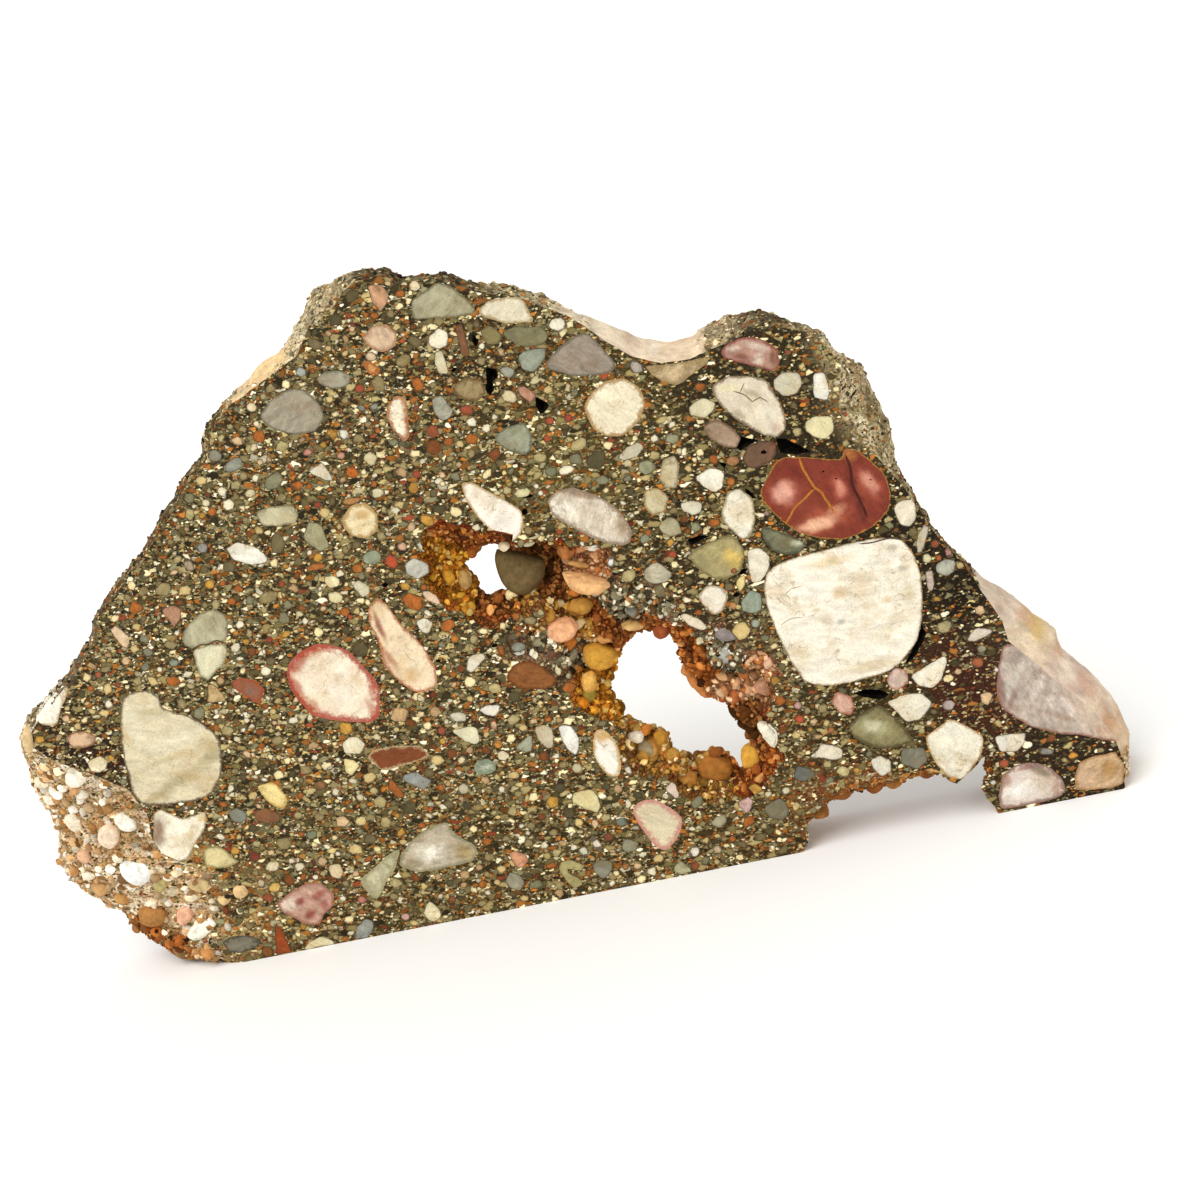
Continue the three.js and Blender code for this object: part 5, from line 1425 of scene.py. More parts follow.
# %% Weld the slab
RIM_MARKS = read_rows(
    # x, z, half width, half height, turn in degrees, colour, strength: stains on the broken cobble
    "114.6 23.4 0.8 2.4 30 #d8b45c 0.7, 116.8 19.4 0.6 1.8 25 #c99a70 0.6, 112 26.6 1 1.4 0 #ead8c2 0.6, "
    "119.4 14.6 0.7 1.8 30 #bd8f74 0.6, 117.2 17.2 1 1.6 30 #ecdac4 0.7, 121.2 9.6 0.8 1.6 20 #c48f64 0.7, "
    "110.6 28.4 0.8 0.8 0 #b5927a 0.5, 113.4 25.2 0.6 1.6 35 #c08c78 0.5, 120.2 12 0.6 1.4 30 #e8d0b4 0.7, "
    "115.8 21.4 0.5 1.6 30 #e4ccae 0.6, "
    # cream crust and streaks on the right shoulder
    "96.6 66.6 0.9 2 10 #ddd0b0 0.85, 97.6 61.4 1 2 0 #dccaa4 0.8, 98.4 55.8 0.6 2.6 15 #e0d2ae 0.85, "
    "101 51 0.7 1.6 20 #d6c69c 0.8, 99.6 58.6 0.5 1.6 0 #4a3c28 0.7, 98.8 64.4 0.6 1.2 0 #57492f 0.7, "
    "102.4 46.6 0.6 1.4 10 #c4b48c 0.7, 104 41.6 0.5 1.2 20 #a8946a 0.6, "
    # the white and tan stones at the left shoulder, and the tan ledge above
    "-16 41.2 3.6 1.5 45 #f6eedc 0.98, -19.6 38.4 0.9 1.8 20 #dcc394 0.9, "
    "22.4 78.4 2.8 1.2 30 #e3c89c 0.9, 27.6 80.8 2.6 1.2 30 #dec090 0.9, 31.6 84 1.2 2.4 -20 #cdbf9c 0.7, "
    # specks in the saddle
    "68 76.4 0.8 0.5 0 #8a7c64 0.6, 72.4 73.2 1.2 0.4 -20 #b0967a 0.6, 75 71.6 0.9 0.5 0 #f2e6d2 0.7, "
    "78.6 71.4 1.2 0.5 0 #c49c7a 0.6"
)


def grid_data(grid, triangles, zones, colours, names, channel, strength):
    """Corner tints of a grid: the zones' dust, then for each packed grain of two sizes its own colour
    from the palette of its zone, lit on its dome and shaded in the cracks. The stains are the rim's."""
    on_rim = channel == RIM_STONES
    place = grid.reshape(-1, 3)
    shares = zone_shares(place[:, [0, 2]], zones)
    colour = shares @ colours
    palette = [names[number] for number in shares.argmax(1)]
    rubbly = shares @ np.array([0.25 if zone[-1] == "cobble" else 1.0 for zone in zones])
    for size, stones, part in (
        (STONE_CELL, channel, strength), (GRIT_CELL, RIM_GRIT, strength * 0.6)
    ):
        gap, chances = packed_cells(place, size, stones)
        stone = stone_colours(palette, chances * 0.999)
        part = part * rubbly
        mix = (np.clip((0.6 - gap) / 0.12, 0, 1) * part)[:, None]
        colour = colour * (1 - mix) + stone * mix
        colour = colour * (1.1 - 0.5 * part * np.clip((gap - 0.42) / 0.3, 0, 1))[:, None]
    if on_rim:
        colour = blend_patches(colour, place[:, [0, 2]], RIM_MARKS)
    count = len(triangles)
    tint = np.ones((count * 3, 4))
    tint[:, :3] = colour[triangles.ravel()]
    data = {
        "tint": tint,
        "rind": np.full((count * 3, 4), 0.01),
        "inside": np.full(count * 3, 2.0),
        "seed": np.full(count * 3, 0.37 if on_rim else 0.74),
    }
    return data, shares


rim_cells = grid_triangles(*rim.shape[:2])
rim_data, rim_shares = grid_data(rim, rim_cells, RIM_ZONES, RIM_COLOURS, RIM_NAMES, RIM_STONES, 0.6)
surface_of = np.array([SLOT["matrix" if zone[5] == "sawn" else zone[5]] for zone in RIM_ZONES])
rim_slots = surface_of[rim_shares.argmax(1)][rim_cells[:, 0]]
base_columns = on_base[rim_cells % rim.shape[1]].all(1)
rim_slots = np.where(base_columns, SLOT["matrix"], rim_slots)

parts = [(front_points, front_cells), (rim.reshape(-1, 3), rim_cells)]
datas = [front_data, rim_data]
slot_lists = [front_slots, rim_slots]
for wall in hole_walls:
    cells = grid_triangles(*wall.shape[:2])
    data, _ = grid_data(
        wall, cells, HOLLOW_ZONES, HOLLOW_COLOURS, HOLLOW_NAMES, HOLLOW_STONES, 0.5)
    parts.append((wall.reshape(-1, 3), cells))
    datas.append(data)
    slot_lists.append(np.full(len(cells), SLOT["crust"]))
parts.append((back_points, back_cells[:, ::-1]))
datas.append({key: values.reshape(len(back_cells), 3, -1)[:, ::-1].reshape(values.shape)
              for key, values in back_data.items()})
slot_lists.append(back_slots)

slab_points, slab_cells = weld(parts)
slab_data = {key: np.concatenate([data[key] for data in datas]) for key in front_data}
slab_slots = np.concatenate(slot_lists)
used, renumbered = np.unique(slab_cells, return_inverse=True)
slab_points, slab_cells = slab_points[used], renumbered.reshape(-1, 3)
print("slab skin:", len(slab_points), "points,", len(slab_cells), "triangles")

# %% [markdown]
# ## Stones that stand proud
#
# Where the slab broke or dissolved, whole stones stick out. Each starts as a ball: an octahedron whose
# triangles are split and pushed out to the sphere. About ten planes then cut it down, with soft edges
# between them, because a stone in a conglomerate has worn flats rather than a ball's even round.

# %% Balls and proud stones
PROUD = read_rows(
    # x, y, z, half sizes along x, y, z, turn in degrees, colour: in the hollow
    "58.4 1.8 45.4 1.3 0.7 0.5 -27 #d9a868, 41.3 2.2 47.4 0.7 0.8 1.3 3 #d9a03a, "
    "43.3 3.6 46.4 0.8 0.9 1.4 -3 #b8935a, 40.9 2 44.1 0.6 0.6 0.7 -15 #cf9a3c, "
    "43.4 2.4 43.3 0.6 0.6 0.7 -15 #c8953a, 42.3 2.6 44.8 0.6 0.6 0.5 -15 #dba63c, "
    "51 1 49.5 0.4 0.5 0.3 -15 #f5edd0, 52.9 1 50.4 0.9 0.8 0.7 0 #c9c4a4, "
    "56.1 0.9 50.2 0.4 0.5 0.7 -33 #e6c888, 57.2 2.2 47.9 1.2 1 1.2 -15 #b87844, "
    "60.9 0.9 47.8 1.1 0.7 0.6 -10 #f3edd6, 46.9 1.2 39.2 1.1 0.8 0.9 -15 #9a9a88, "
    "48.2 1 36.6 0.8 0.7 1.2 5 #c9c7b8, 45.9 0.9 36.4 0.6 0.6 1.2 -7 #c08040, "
    "52.3 1.2 35 0.9 0.8 0.9 -15 #6b4a38, 57 3.2 39.4 1.7 1.2 1.1 -5 #c49244, "
    "51 2.4 40.4 0.5 0.5 0.6 -15 #cfa050, 51.5 1.8 39.2 0.6 0.4 0.4 -40 #d08a34, "
    "47 3.6 43 0.9 0.8 0.8 15 #9a5a2a, 49.6 2.4 50.3 0.7 0.8 0.7 -15 #ead9b4, "
    "73 1.8 26.4 1.1 0.6 0.6 -47 #d0a070, 78.1 1.4 23.9 1.2 0.8 1.3 -15 #b5866a, "
    "79.7 1 27.3 0.9 0.7 0.9 -35 #d9b090, 79.8 1 24.9 1 0.6 0.8 -45 #d9b494, "
    "74 3.2 22.7 0.8 0.8 0.9 -15 #b5673a, 72.5 3.6 22.8 0.7 0.7 0.7 -15 #a85a30, "
    "62.2 4.6 17.9 1.7 1.4 1.6 -15 #a8763a, 61 3 17.9 1.1 1 1.3 5 #9c8a68, "
    "60 2.2 20.3 1 0.9 1.1 5 #f0e4cc, 60.1 4 21.2 0.8 0.7 0.7 -15 #b8904c, "
    "64.3 3 15.3 0.6 0.5 0.5 -15 #c98f40, 62.9 3.6 16.9 0.9 0.6 0.6 -15 #b8803a, "
    "55.3 2.4 27.9 1.1 1.1 1.7 -15 #a08a3c, 56 2.8 23.7 1 0.9 1.1 -15 #a8863a, "
    "57.2 1.8 28.3 0.5 0.4 0.4 -15 #ead49a, 57.9 2.4 39.4 0.9 0.8 0.8 5 #b87a34, "
    "75.4 0.7 32.7 1.5 0.7 1.2 -15 #8a807c, 74.4 1.2 29.7 1 0.8 1.2 10 #a3a39a, "
    "57.8 3.6 24.2 0.8 0.8 1 -15 #b58840, 54.9 2 25.4 0.6 0.5 0.7 -15 #8e8440, "
    "63.8 1.6 37.8 0.8 0.6 0.7 -15 #8a8a7c, 65.5 4 12.9 1.4 1 1 -25 #b07a3a, "
    # stones on the top edge and in the roof of the arch
    "27 3.8 79.9 3.9 2.6 1.4 24 #e0c292, 84.6 2.6 6.5 1.9 1.6 1.2 10 #8f5a30, "
    "89.3 2.4 6.9 1.5 1.6 1.3 0 #8a5228, 92 2.6 6.9 1.3 1.5 1.3 20 #a06c38, "
    "96.6 2.4 7.2 1.2 1.3 1 -20 #7a4a28, 81.6 2.6 4.2 1.1 1.6 1.3 30 #a06a36, "
    "100.6 2.4 6.2 1 1.4 0.9 0 #6a4630"
)


TRACED = """
#6a5838 2.4@3.9 48.8,50.9 50.5,50.7 51.3,50 52.9,49.1 54.6,48.3 54.8,47.6 54.1,46 53.1,44.9 51.7,44.1
 50.6,44.1 49.5,44.8 48.6,46.5 48.3,48.2 48.3,49.8
#e6b47c 1.6@1.5 56.4,46.1 58.2,45.4 60.3,44.4 62.4,43.5 62.6,43 61.5,42.3 59.7,42.2 58.1,42.7 56.8,43.8
#e8ac80 1.5@1.8 52.7,39.6 54.3,39.8 56,39.5 56.8,38.4 56.2,37.1 54.5,36.5 53.1,37 52.3,38.3
#c8943c 1.6@2.6 56.8,35.4 58.6,35.4 60.4,34.3 60.9,33.3 59.8,31.9 57.9,31.6 56.6,32.4 56.3,33.8
#a0682e 1.8@4 67.2,15.5 68.3,16.9 70.1,16.8 71.8,15.3 72,13.9 70.9,12.7 69,13.1 67.4,14
#dca544 1.6@4 73.5,16.6 75.3,17.1 76,16.1 75.5,13.9 74.2,13.4 73.1,14.2
#bc7840 1.2@3 68.9,29.6 70.1,28.2 71.2,25.2 71.6,24.6 70.6,24.7 69.7,26.1 68.8,28
#96502e 1.3@3 66.2,36.5 67.6,36.8 68.4,35.8 68.1,34.5 66.9,34.1 66,34.9
#cda468 0.8@2.4 62.1,37.4 64.4,37.2 65.4,36.3 63.8,36 62.4,36.6
#b08c5c 1.2@4.8 49.3,44.1 51.2,43.7 53.1,44 52.9,42.8 51.6,42.2 49.9,42.6
#bc6a2e 1@1.2 47.2,42.2 48.3,42.2 49.8,41 49.8,40.2 48.8,40.1 47.7,41
#dca856 0.8@1.4 55.6,31.5 57.2,31.7 57.3,30 56.1,28.6 55.1,29.4
#cc984a 1@3.4 60.3,20.4 61.9,20.6 63,19.5 62.9,18.1 61.5,17.8 60.2,18.7
#bc8834 1@3.2 62.6,21.3 64.4,21.2 64.3,19.8 63,19.5
#e9e2cc 0.9@0.9 76.2,19.4 76.7,19.9 77.8,19.6 78.8,18 78.5,16.4 77.8,15.6 77,17 76.6,18.4
#ece2cc 0.7@1 70,37.3 71.6,36.7 72.9,34.8 72.3,34.4 70.8,35.5 69.8,36.5
#f6efdc 0.9@0.95 -11.8,44.6 -12.6,44.2 -13.7,43.8 -14.8,43.2 -15.9,42.2 -17.2,41.2 -17.3,40.4
 -16.1,39.9 -15.1,39.7 -14.4,40 -14.1,40.8 -13.3,42.1 -12.3,43.1
#f0e4c8 0.9 -20,33 -18.2,32.8 -17.3,31.9 -17.8,31.4 -19.6,31.5 -20.2,32.2
#e2c8a0 0.8 -3.4,14.2 -0.7,13.6 -0.6,12.1 -3,11.7 -3.8,12.8
#dcc090 1 -19,40.3 -17.9,40 -18.2,38.5 -19.2,36.4 -19.8,37.1 -19.7,38.9
#f6eedc 1 -15.4,33.1 -13.2,33 -12.8,31.6 -13.7,30.6 -15.4,30.5 -16,31.7
#f2e8d2 0.7 -19.8,30.1 -18.4,30.2 -17.5,29.2 -18.3,28.6 -19.6,28.9
#f2eada 0.6 -15.2,29.2 -13.9,29.1 -14.2,28 -15.4,27.9
#f2e4ca 1.1 -17.7,26.9 -15.3,27.3 -15.3,25.8 -15.7,23.7 -16.9,24.1 -17.8,25.7
#efd8bc 1.3 -13.6,23.9 -12,24.3 -10.9,23.3 -11.4,21.6 -12.9,20.5 -14,21.4 -14.2,22.8
#f8f0de 1.1 -11.2,25.2 -9.8,25.6 -8.5,24.3 -8.2,23 -9.4,22.5 -10.9,23.3
#f2f2ec 1.3 -12.6,18.1 -11.8,18.5 -9.8,18.3 -8,17.7 -7.8,16.8 -8.8,15.1 -10.7,14.4 -11.9,15.2 -12.7,16.6
#b8a870 0.9 -8.5,15.3 -6.8,15 -6.6,14 -8.1,12.8 -9.1,13.3
#e0b490 0.9 -17.8,21.1 -16.3,21.5 -15.5,20.3 -16.4,19.3 -17.7,19.6
#f2e6ce 0.6 -18.1,18.1 -16.8,18.1 -15.9,17.3 -16.6,16.7 -18,16.9
#cda06c 0.9 -17.3,16.4 -15.6,16.3 -14.5,15.3 -15.5,14.1 -17.1,14.3
#ac7a44 1.4 -12,11.1 -10.2,11.5 -7.9,10.7 -7.6,9.2 -9,8.1 -11.2,8.1 -12.3,9.3
#e6b090 1 -6.9,9.7 -5.2,10 -4.5,9.2 -5.4,7.8 -6.9,7.4 -7.3,8.2
#f6f2e0 1.1 -6.8,5.7 -5.6,6.9 -4.2,7.6 -2.3,7.3 -2.4,6.4 -3.8,5.2 -5.7,4.7
#f0e2c0 0.6 -5.3,11.7 -4.1,11.9 -3.2,11.1 -4.2,10.5 -5.2,10.9
#c4ac7c 0.9 -4.2,13.3 -2.9,14 -1,13.4 -1.1,12.2 -2.6,11.9 -4,12.4
#f2e8d0 0.6 -13.2,19.5 -12.2,19.9 -11.6,19.1 -12.1,18.3 -13.2,18.6
#eadcb6 0.6 -6,15.7 -4.8,15.9 -4.3,15 -5.2,14.6 -6,14.8
#d9b884 0.8 1.5,11.3 3,11.7 3.8,10.5 2.7,9.5 1.5,9.9
#d2a878 0.7 -18.3,23.4 -16.8,23.4 -16.7,22.1 -17.9,21.6
#dcbc88 0.7 -1.1,10.3 0.1,10.5 1,9.6 -0.3,9.1
#c49458 0.9 -14.6,13.9 -13.2,13.9 -12.4,12.8 -13.5,12.1 -14.7,12.7
#bc8c5a 0.9 -18.8,19.8 -18,18.8 -18.7,17.6 -19.5,18.1
#a4703e 0.9 -13.5,9.3 -12.5,8.7 -12.8,7.5 -13.6,7.8
#f2e0bc 0.5 -11.5,30.4 -10.6,30.5 -10.3,29.7 -11.1,29.4
#e8cca4 0.6 -19,24.8 -18.4,23.7 -19.2,22.6 -19.5,23.3
#90704a 1 -9.2,4.5 -7.3,3.9 -7.4,2.7 -9,3.2
#ecdab6 0.5 1.1,8.3 2,8.4 2.2,7.5 1.3,7.3
#c88e54 0.8 -5.5,3.4 -3.6,2.9 -3.7,1.7 -5.4,1.8
#f0e2c2 0.5 -9.9,12.5 -9.1,12.3 -9.5,11.5 -10.2,11.9
#f6eeda 0.5 -12.5,27.9 -11.5,28 -11.5,27.1 -12.4,27
"""


def read_traced(text):
    """A stone starts at #; then half its depth, and after @ how deep its middle lies, if that isn't on
    the break; then its corners x,z as they line up with the polished face, seen from the camera."""
    stones = []
    for word in text.split():
        if word.startswith("#"):
            stones.append({"colour": word, "depth": None, "xz": []})
        elif "," in word:
            stones[-1]["xz"].append([float(value) for value in word.split(",")])
        else:
            half, _, depth = word.partition("@")
            stones[-1].update(half=float(half), depth=float(depth) if depth else None)
    return stones


def line_of_sight(flat, depths):
    """Where the line from the camera through (x, 0, z) is at each depth."""
    start = np.array([flat[0], 0.0, flat[1]])
    ray = start - CAMERA_MM
    return start + ray / ray[1] * np.asarray(depths, float)[:, None]


PROUD_SPLITS = 3
NOISE_APART = 9  # between the places where two stones read the same noise, so that no two are alike


def ball(splits):
    """An octahedron; each split cuts every triangle in four at its sides' middles, pushed to radius 1."""
    points = np.array([(1, 0, 0), (-1, 0, 0), (0, 1, 0), (0, -1, 0), (0, 0, 1), (0, 0, -1)], float)
    cells = np.array([(0, 2, 4), (2, 1, 4), (1, 3, 4), (3, 0, 4), (2, 0, 5), (1, 2, 5), (3, 1, 5), (0, 3, 5)])
    for _ in range(splits):
        three = points[cells]
        middles = [three[:, [0, 1]].mean(1), three[:, [1, 2]].mean(1), three[:, [2, 0]].mean(1)]
        a, b, c = three[:, 0], three[:, 1], three[:, 2]
        ab, bc, ca = (m / np.linalg.norm(m, axis=1, keepdims=True) for m in middles)
        soup = np.stack([a, ab, ca, ab, b, bc, ca, bc, c, ab, bc, ca], 1).reshape(-1, 3)
        points, where = np.unique(soup.round(9), axis=0, return_inverse=True)
        cells = where.reshape(-1, 3)
    return points, cells


def faceted(unit, count, rng, planes=10, hardness=12):
    """Count shapes: in direction u the radius is (1 + Σ (max(u·n, 0) / d)^p)^(−1/p) over random planes n
    at distance d. A high p keeps the flats flat and the edges between them crisp."""
    normals = rng.normal(size=(count, planes, 3))
    normals /= np.linalg.norm(normals, axis=2, keepdims=True)
    distances = rng.uniform(0.66, 0.95, (count, planes, 1))
    facing = np.maximum(np.einsum("npk,vk->npv", normals, unit), 0) / distances
    radius = (1 + (facing**hardness).sum(1)) ** (-1 / hardness)
    return unit * (radius * 1.12)[..., None]


def painted(colours, triangles_each, seeds):
    """Corner data for many joined shapes: one tint and one chance number for each shape."""
    count = triangles_each * 3
    tint = np.ones((len(colours) * count, 4))
    tint[:, :3] = np.repeat(colours, count, axis=0)
    return {
        "tint": tint,
        "rind": np.full_like(tint, 0.01),
        "inside": np.full(len(tint), 2.0),
        "seed": np.repeat(seeds, count),
    }


def bedded(row):
    """How deep a stone in the hollow lies: as written, but held within reach of the hollow's floor."""
    place = np.array([[row[0], row[2]]])
    floor_depth = hollow_depth(place)[0]
    over_hole = any(inside_loop(place, loop)[0] for loop in lip_loops)
    if floor_depth < 0.3 or over_hole:
        return row[1]
    return float(np.clip(row[1], floor_depth - 0.5 * row[4], floor_depth + 0.2 * row[4]))


def proud_stones(rows):
    """All proud stones in one mesh: a faceted ball, knocked about a little by noise, times the half
    sizes, turned in the plane of the face and moved to its place."""
    unit, cells = ball(PROUD_SPLITS)
    rng = np.random.default_rng(19)
    table = np.array([row[:7] for row in rows])
    table[:, 1] = [bedded(row) for row in rows]
    body = faceted(unit, len(rows), rng)
    apart = body + NOISE_APART * np.arange(len(rows))[:, None, None]
    body = body * (1 + 0.07 * noise(apart, 0.5, 81, 2))[..., None] * table[:, None, 3:6]
    angle = np.radians(table[:, 6])[:, None]
    turned = np.stack([
        body[..., 0] * np.cos(angle) - body[..., 2] * np.sin(angle),
        body[..., 1],
        body[..., 0] * np.sin(angle) + body[..., 2] * np.cos(angle),
    ], -1) + table[:, None, :3]
    triangles = cells[None] + (np.arange(len(rows)) * len(unit))[:, None, None]
    colours = np.array([linear(row[7]) for row in rows])
    data = painted(colours, len(cells), rng.uniform(0, 1, len(rows)))
    return turned.reshape(-1, 3), triangles.reshape(-1, 3), data


def traced_stones(stones):
    """All traced stones in one mesh. In the plane of the face a ball's point goes out to the outline's
    own reach at that angle, times a power of its reach in the ball; its facets go into the depth. A
    stone without a depth is slid along the line of sight to the place nearest to the break."""
    unit, cells = ball(PROUD_SPLITS)
    rng = np.random.default_rng(41)
    body = faceted(unit, len(stones), rng, 12, 30)
    near_side = rim[:18].reshape(-1, 3)
    tree = KDTree(len(near_side))
    for number, point in enumerate(near_side):
        tree.insert(point, number)
    tree.balance()
    at = np.arctan2(unit[:, 2], unit[:, 0])
    out_share = np.hypot(unit[:, 0], unit[:, 2]) ** 0.5
    points = []
    for stone, shape in zip(stones, body):
        loop = rounded(counter_clockwise(np.array(stone["xz"])), 0.15, 2)
        middle = loop.mean(0)
        reach = np.linalg.norm(loop - middle, axis=1)
        angles = np.arctan2(loop[:, 1] - middle[1], loop[:, 0] - middle[0])
        outline = np.interp(at, angles, reach, period=2 * math.pi) * out_share
        depth = stone["depth"]
        if depth is None:
            tried = np.linspace(0.2, 8, 40)
            gaps_there = [tree.find(place)[2] for place in line_of_sight(middle, tried)]
            depth = tried[int(np.argmin(np.array(gaps_there) + 0.03 * tried))] + 0.2 * stone["half"]
        outline = outline * (1 + 0.06 * noise(shape + NOISE_APART * len(points), 0.5, 81, 2))
        shaped = np.stack([outline * np.cos(at), stone["half"] * 1.1 * shape[:, 1], outline * np.sin(at)], -1)
        points.append(shaped + line_of_sight(middle, [depth])[0])
    triangles = cells[None] + (np.arange(len(stones)) * len(unit))[:, None, None]
    colours = np.array([linear(stone["colour"]) for stone in stones])
    data = painted(colours, len(cells), rng.uniform(0, 1, len(stones)))
    return np.vstack(points), triangles.reshape(-1, 3), data


# %% [markdown]
# Loose-looking grains cling to the break and line the hollow. There are thousands, so each is a small
# angular stone of 32 faces, and only the few large ones have more: a split octahedron cut by random
# planes, stretched and turned at random. Each takes a colour from the palette of its zone.

# %% Scatter grains
def scatter(centres, radii, colours, seed, splits=1):
    """Grain n is a faceted ball, stretched by three random factors, turned by a random unit quaternion,
    scaled by its radius and moved to its centre."""
    rng = np.random.default_rng(seed)
    unit, cells = ball(splits)
    count = len(centres)
    body = faceted(unit, count, rng, 7, 24) * rng.uniform(0.55, 1.25, (count, 1, 3))
    q = rng.normal(size=(count, 4))
    w, x, y, z = (q / np.linalg.norm(q, axis=1, keepdims=True)).T
    turn = np.array([
        [1 - 2 * (y * y + z * z), 2 * (x * y - z * w), 2 * (x * z + y * w)],
        [2 * (x * y + z * w), 1 - 2 * (x * x + z * z), 2 * (y * z - x * w)],
        [2 * (x * z - y * w), 2 * (y * z + x * w), 1 - 2 * (x * x + y * y)],
    ]).transpose(2, 0, 1)
    points = np.einsum("nij,nkj->nki", turn, body) * radii[:, None, None] + centres[:, None]
    triangles = cells[None] + (np.arange(count) * len(unit))[:, None, None]
    data = painted(colours, len(cells), rng.uniform(0, 1, count))
    return points.reshape(-1, 3), triangles.reshape(-1, 3), data


def joined(meshes):
    """Several (points, triangles, data) meshes as one."""
    offsets = np.cumsum([0] + [len(points) for points, _, _ in meshes[:-1]])
    triangles = np.vstack([cells + offset for (_, cells, _), offset in zip(meshes, offsets)])
    data = {key: np.concatenate([mesh[2][key] for mesh in meshes]) for key in meshes[0][2]}
    return np.vstack([points for points, _, _ in meshes]), triangles, data


def zone_stones(spots, zones, names, rng):
    """A palette colour for each spot, from its nearest zone, made lighter or darker by chance."""
    palette = [names[number] for number in zone_shares(spots[:, [0, 2]], zones, 3.0).argmax(1)]
    shade = np.exp(rng.normal(0, 0.32, len(spots)))
    return stone_colours(palette, rng.uniform(0, 0.999, len(spots))) * np.clip(shade, 0.4, 1.4)[:, None]


EDGE_TRIES, HOLLOW_TRIES = 7000, 22000
RUBBLE_COUNT = 210
FLOOR_FINE, FLOOR_COARSE = 3400, 180  # grains on the hollow's floor
rng = np.random.default_rng(23)
ring_pick = rng.integers(1, rim.shape[0] - 1, EDGE_TRIES)
column_pick = rng.integers(0, rim.shape[1], EDGE_TRIES)
spots = rim[ring_pick, column_pick]
spots_x, spots_z = spots[:, 0], spots[:, 2]
lower_left = (spots_x < 2) & (spots_z < 34)
smooth_part = near_any(spots_x, spots_z, SMOOTH_SIDES) > 0.3
on_slopes = (spots_z > 50) | (spots_x > 96)
keep_share = np.where(smooth_part, 0.0, np.where(lower_left, 1.0, np.where(on_slopes, 0.45, 0.7)))
kept = (rng.uniform(0, 1, len(spots)) < keep_share) & (spots_z > 0.9)
spots, lower_left = spots[kept], lower_left[kept]
radii = rng.uniform(0.16, 0.42, len(spots)) * np.where(lower_left, 1.15, 1.0)
radii = np.minimum(radii, spots[:, 2] * 0.6)
colours = zone_stones(spots, RIM_ZONES, RIM_NAMES, rng)
middle_line = np.array([50.0, THICKNESS / 2, 35.0])
inward = middle_line - spots
inward /= np.linalg.norm(inward, axis=1, keepdims=True)
spots = spots + inward * (radii * np.where(lower_left, 0.15, 0.4))[:, None]
spots[:, 1] = np.clip(spots[:, 1], radii * 0.9, THICKNESS - radii * 0.9)
rubble = np.flatnonzero(lower_left & (spots[:, 1] < 4.2))[:RUBBLE_COUNT]
rubble_radii = rng.uniform(0.36, 0.85, len(rubble))
rubble_spots = spots[rubble] + inward[rubble] * rubble_radii[:, None] * 0.3
rubble_spots[:, 1] = np.clip(rubble_spots[:, 1], rubble_radii, THICKNESS - rubble_radii)
rubble_spots[:, 2] = np.maximum(rubble_spots[:, 2], rubble_radii * 1.3)
rubble_mesh = scatter(rubble_spots, rubble_radii, colours[rubble], 30, 2)
edge_grain_mesh = joined([scatter(spots, radii, colours, 29), rubble_mesh])
print("grains on the broken edge:", len(spots), "and stones at the lower left:", len(rubble))

hollow_rng = np.random.default_rng(31)
loose = hollow_rng.uniform((38, 8), (84, 58), (HOLLOW_TRIES, 2))
loose = loose[hollow_depth(loose) > 0.35]
held_loops = [
    p["loop"] for p in named
    if hollow_depth(p["loop"].mean(0)[None])[0] < LIP and hollow_depth(p["loop"]).max() > 0.1]
print("pebbles that stand out over the hollow's lip:", len(held_loops))
loose = loose[nearest_distance(loose, held_loops) > 0.7]
for loop in lip_loops + held_loops:
    loose = loose[~inside_loop(loose, loop)]
floor_spots = np.stack([loose[:, 0], hollow_depth(loose), loose[:, 1]], -1)
wall_spots = np.vstack([
    wall[hollow_rng.integers(0, wall.shape[0] - 1, count), hollow_rng.integers(0, wall.shape[1], count)]
    for wall, count in zip(hole_walls, (1000, 400))
])
meshes = []
for spots, splits, least, most in (
    (np.vstack([floor_spots[:FLOOR_FINE], wall_spots]), 1, 0.2, 0.5),
    (np.vstack([floor_spots[FLOOR_FINE:][:FLOOR_COARSE], wall_spots[::15]]), 2, 0.5, 1.0),
):
    radii = hollow_rng.uniform(least, most, len(spots))
    colours = zone_stones(spots, HOLLOW_ZONES, HOLLOW_NAMES, hollow_rng)
    spots[:, 1] = np.clip(spots[:, 1] + radii * 0.2, radii * 1.35, THICKNESS - radii * 1.35)
    meshes.append(scatter(spots, radii, colours, 37 + splits, splits))
    print("grains in the hollow:", len(spots), "of", least, "to", most, "mm")
hollow_grain_mesh = joined(meshes)
proud_mesh = joined([proud_stones(PROUD), traced_stones(read_traced(TRACED))])

# %% [markdown]
# ## Materials
#
# All of them are dielectric stone: metallic 0, IOR about 1.5. What differs is the grain and the
# polish. A polished quartz face is nearly mirror-smooth between its scratches; iron cement takes a
# poorer polish, and a broken face has none.

# %% Node helper
def add(tree, kind, inputs=None, **settings):
    """Adds one node. inputs maps a socket's name or number to a value or to another node's socket."""
    node = tree.nodes.new(kind)
    for key, value in settings.items():
        setattr(node, key, value)
    for key, value in (inputs or {}).items():
        if isinstance(value, bpy.types.NodeSocket):
            tree.links.new(value, node.inputs[key])
        else:
            node.inputs[key].default_value = value
    return node


def hex_colour(code):
    """A linear colour with alpha for a socket, from sRGB hex."""
    return (*linear(code), 1.0)


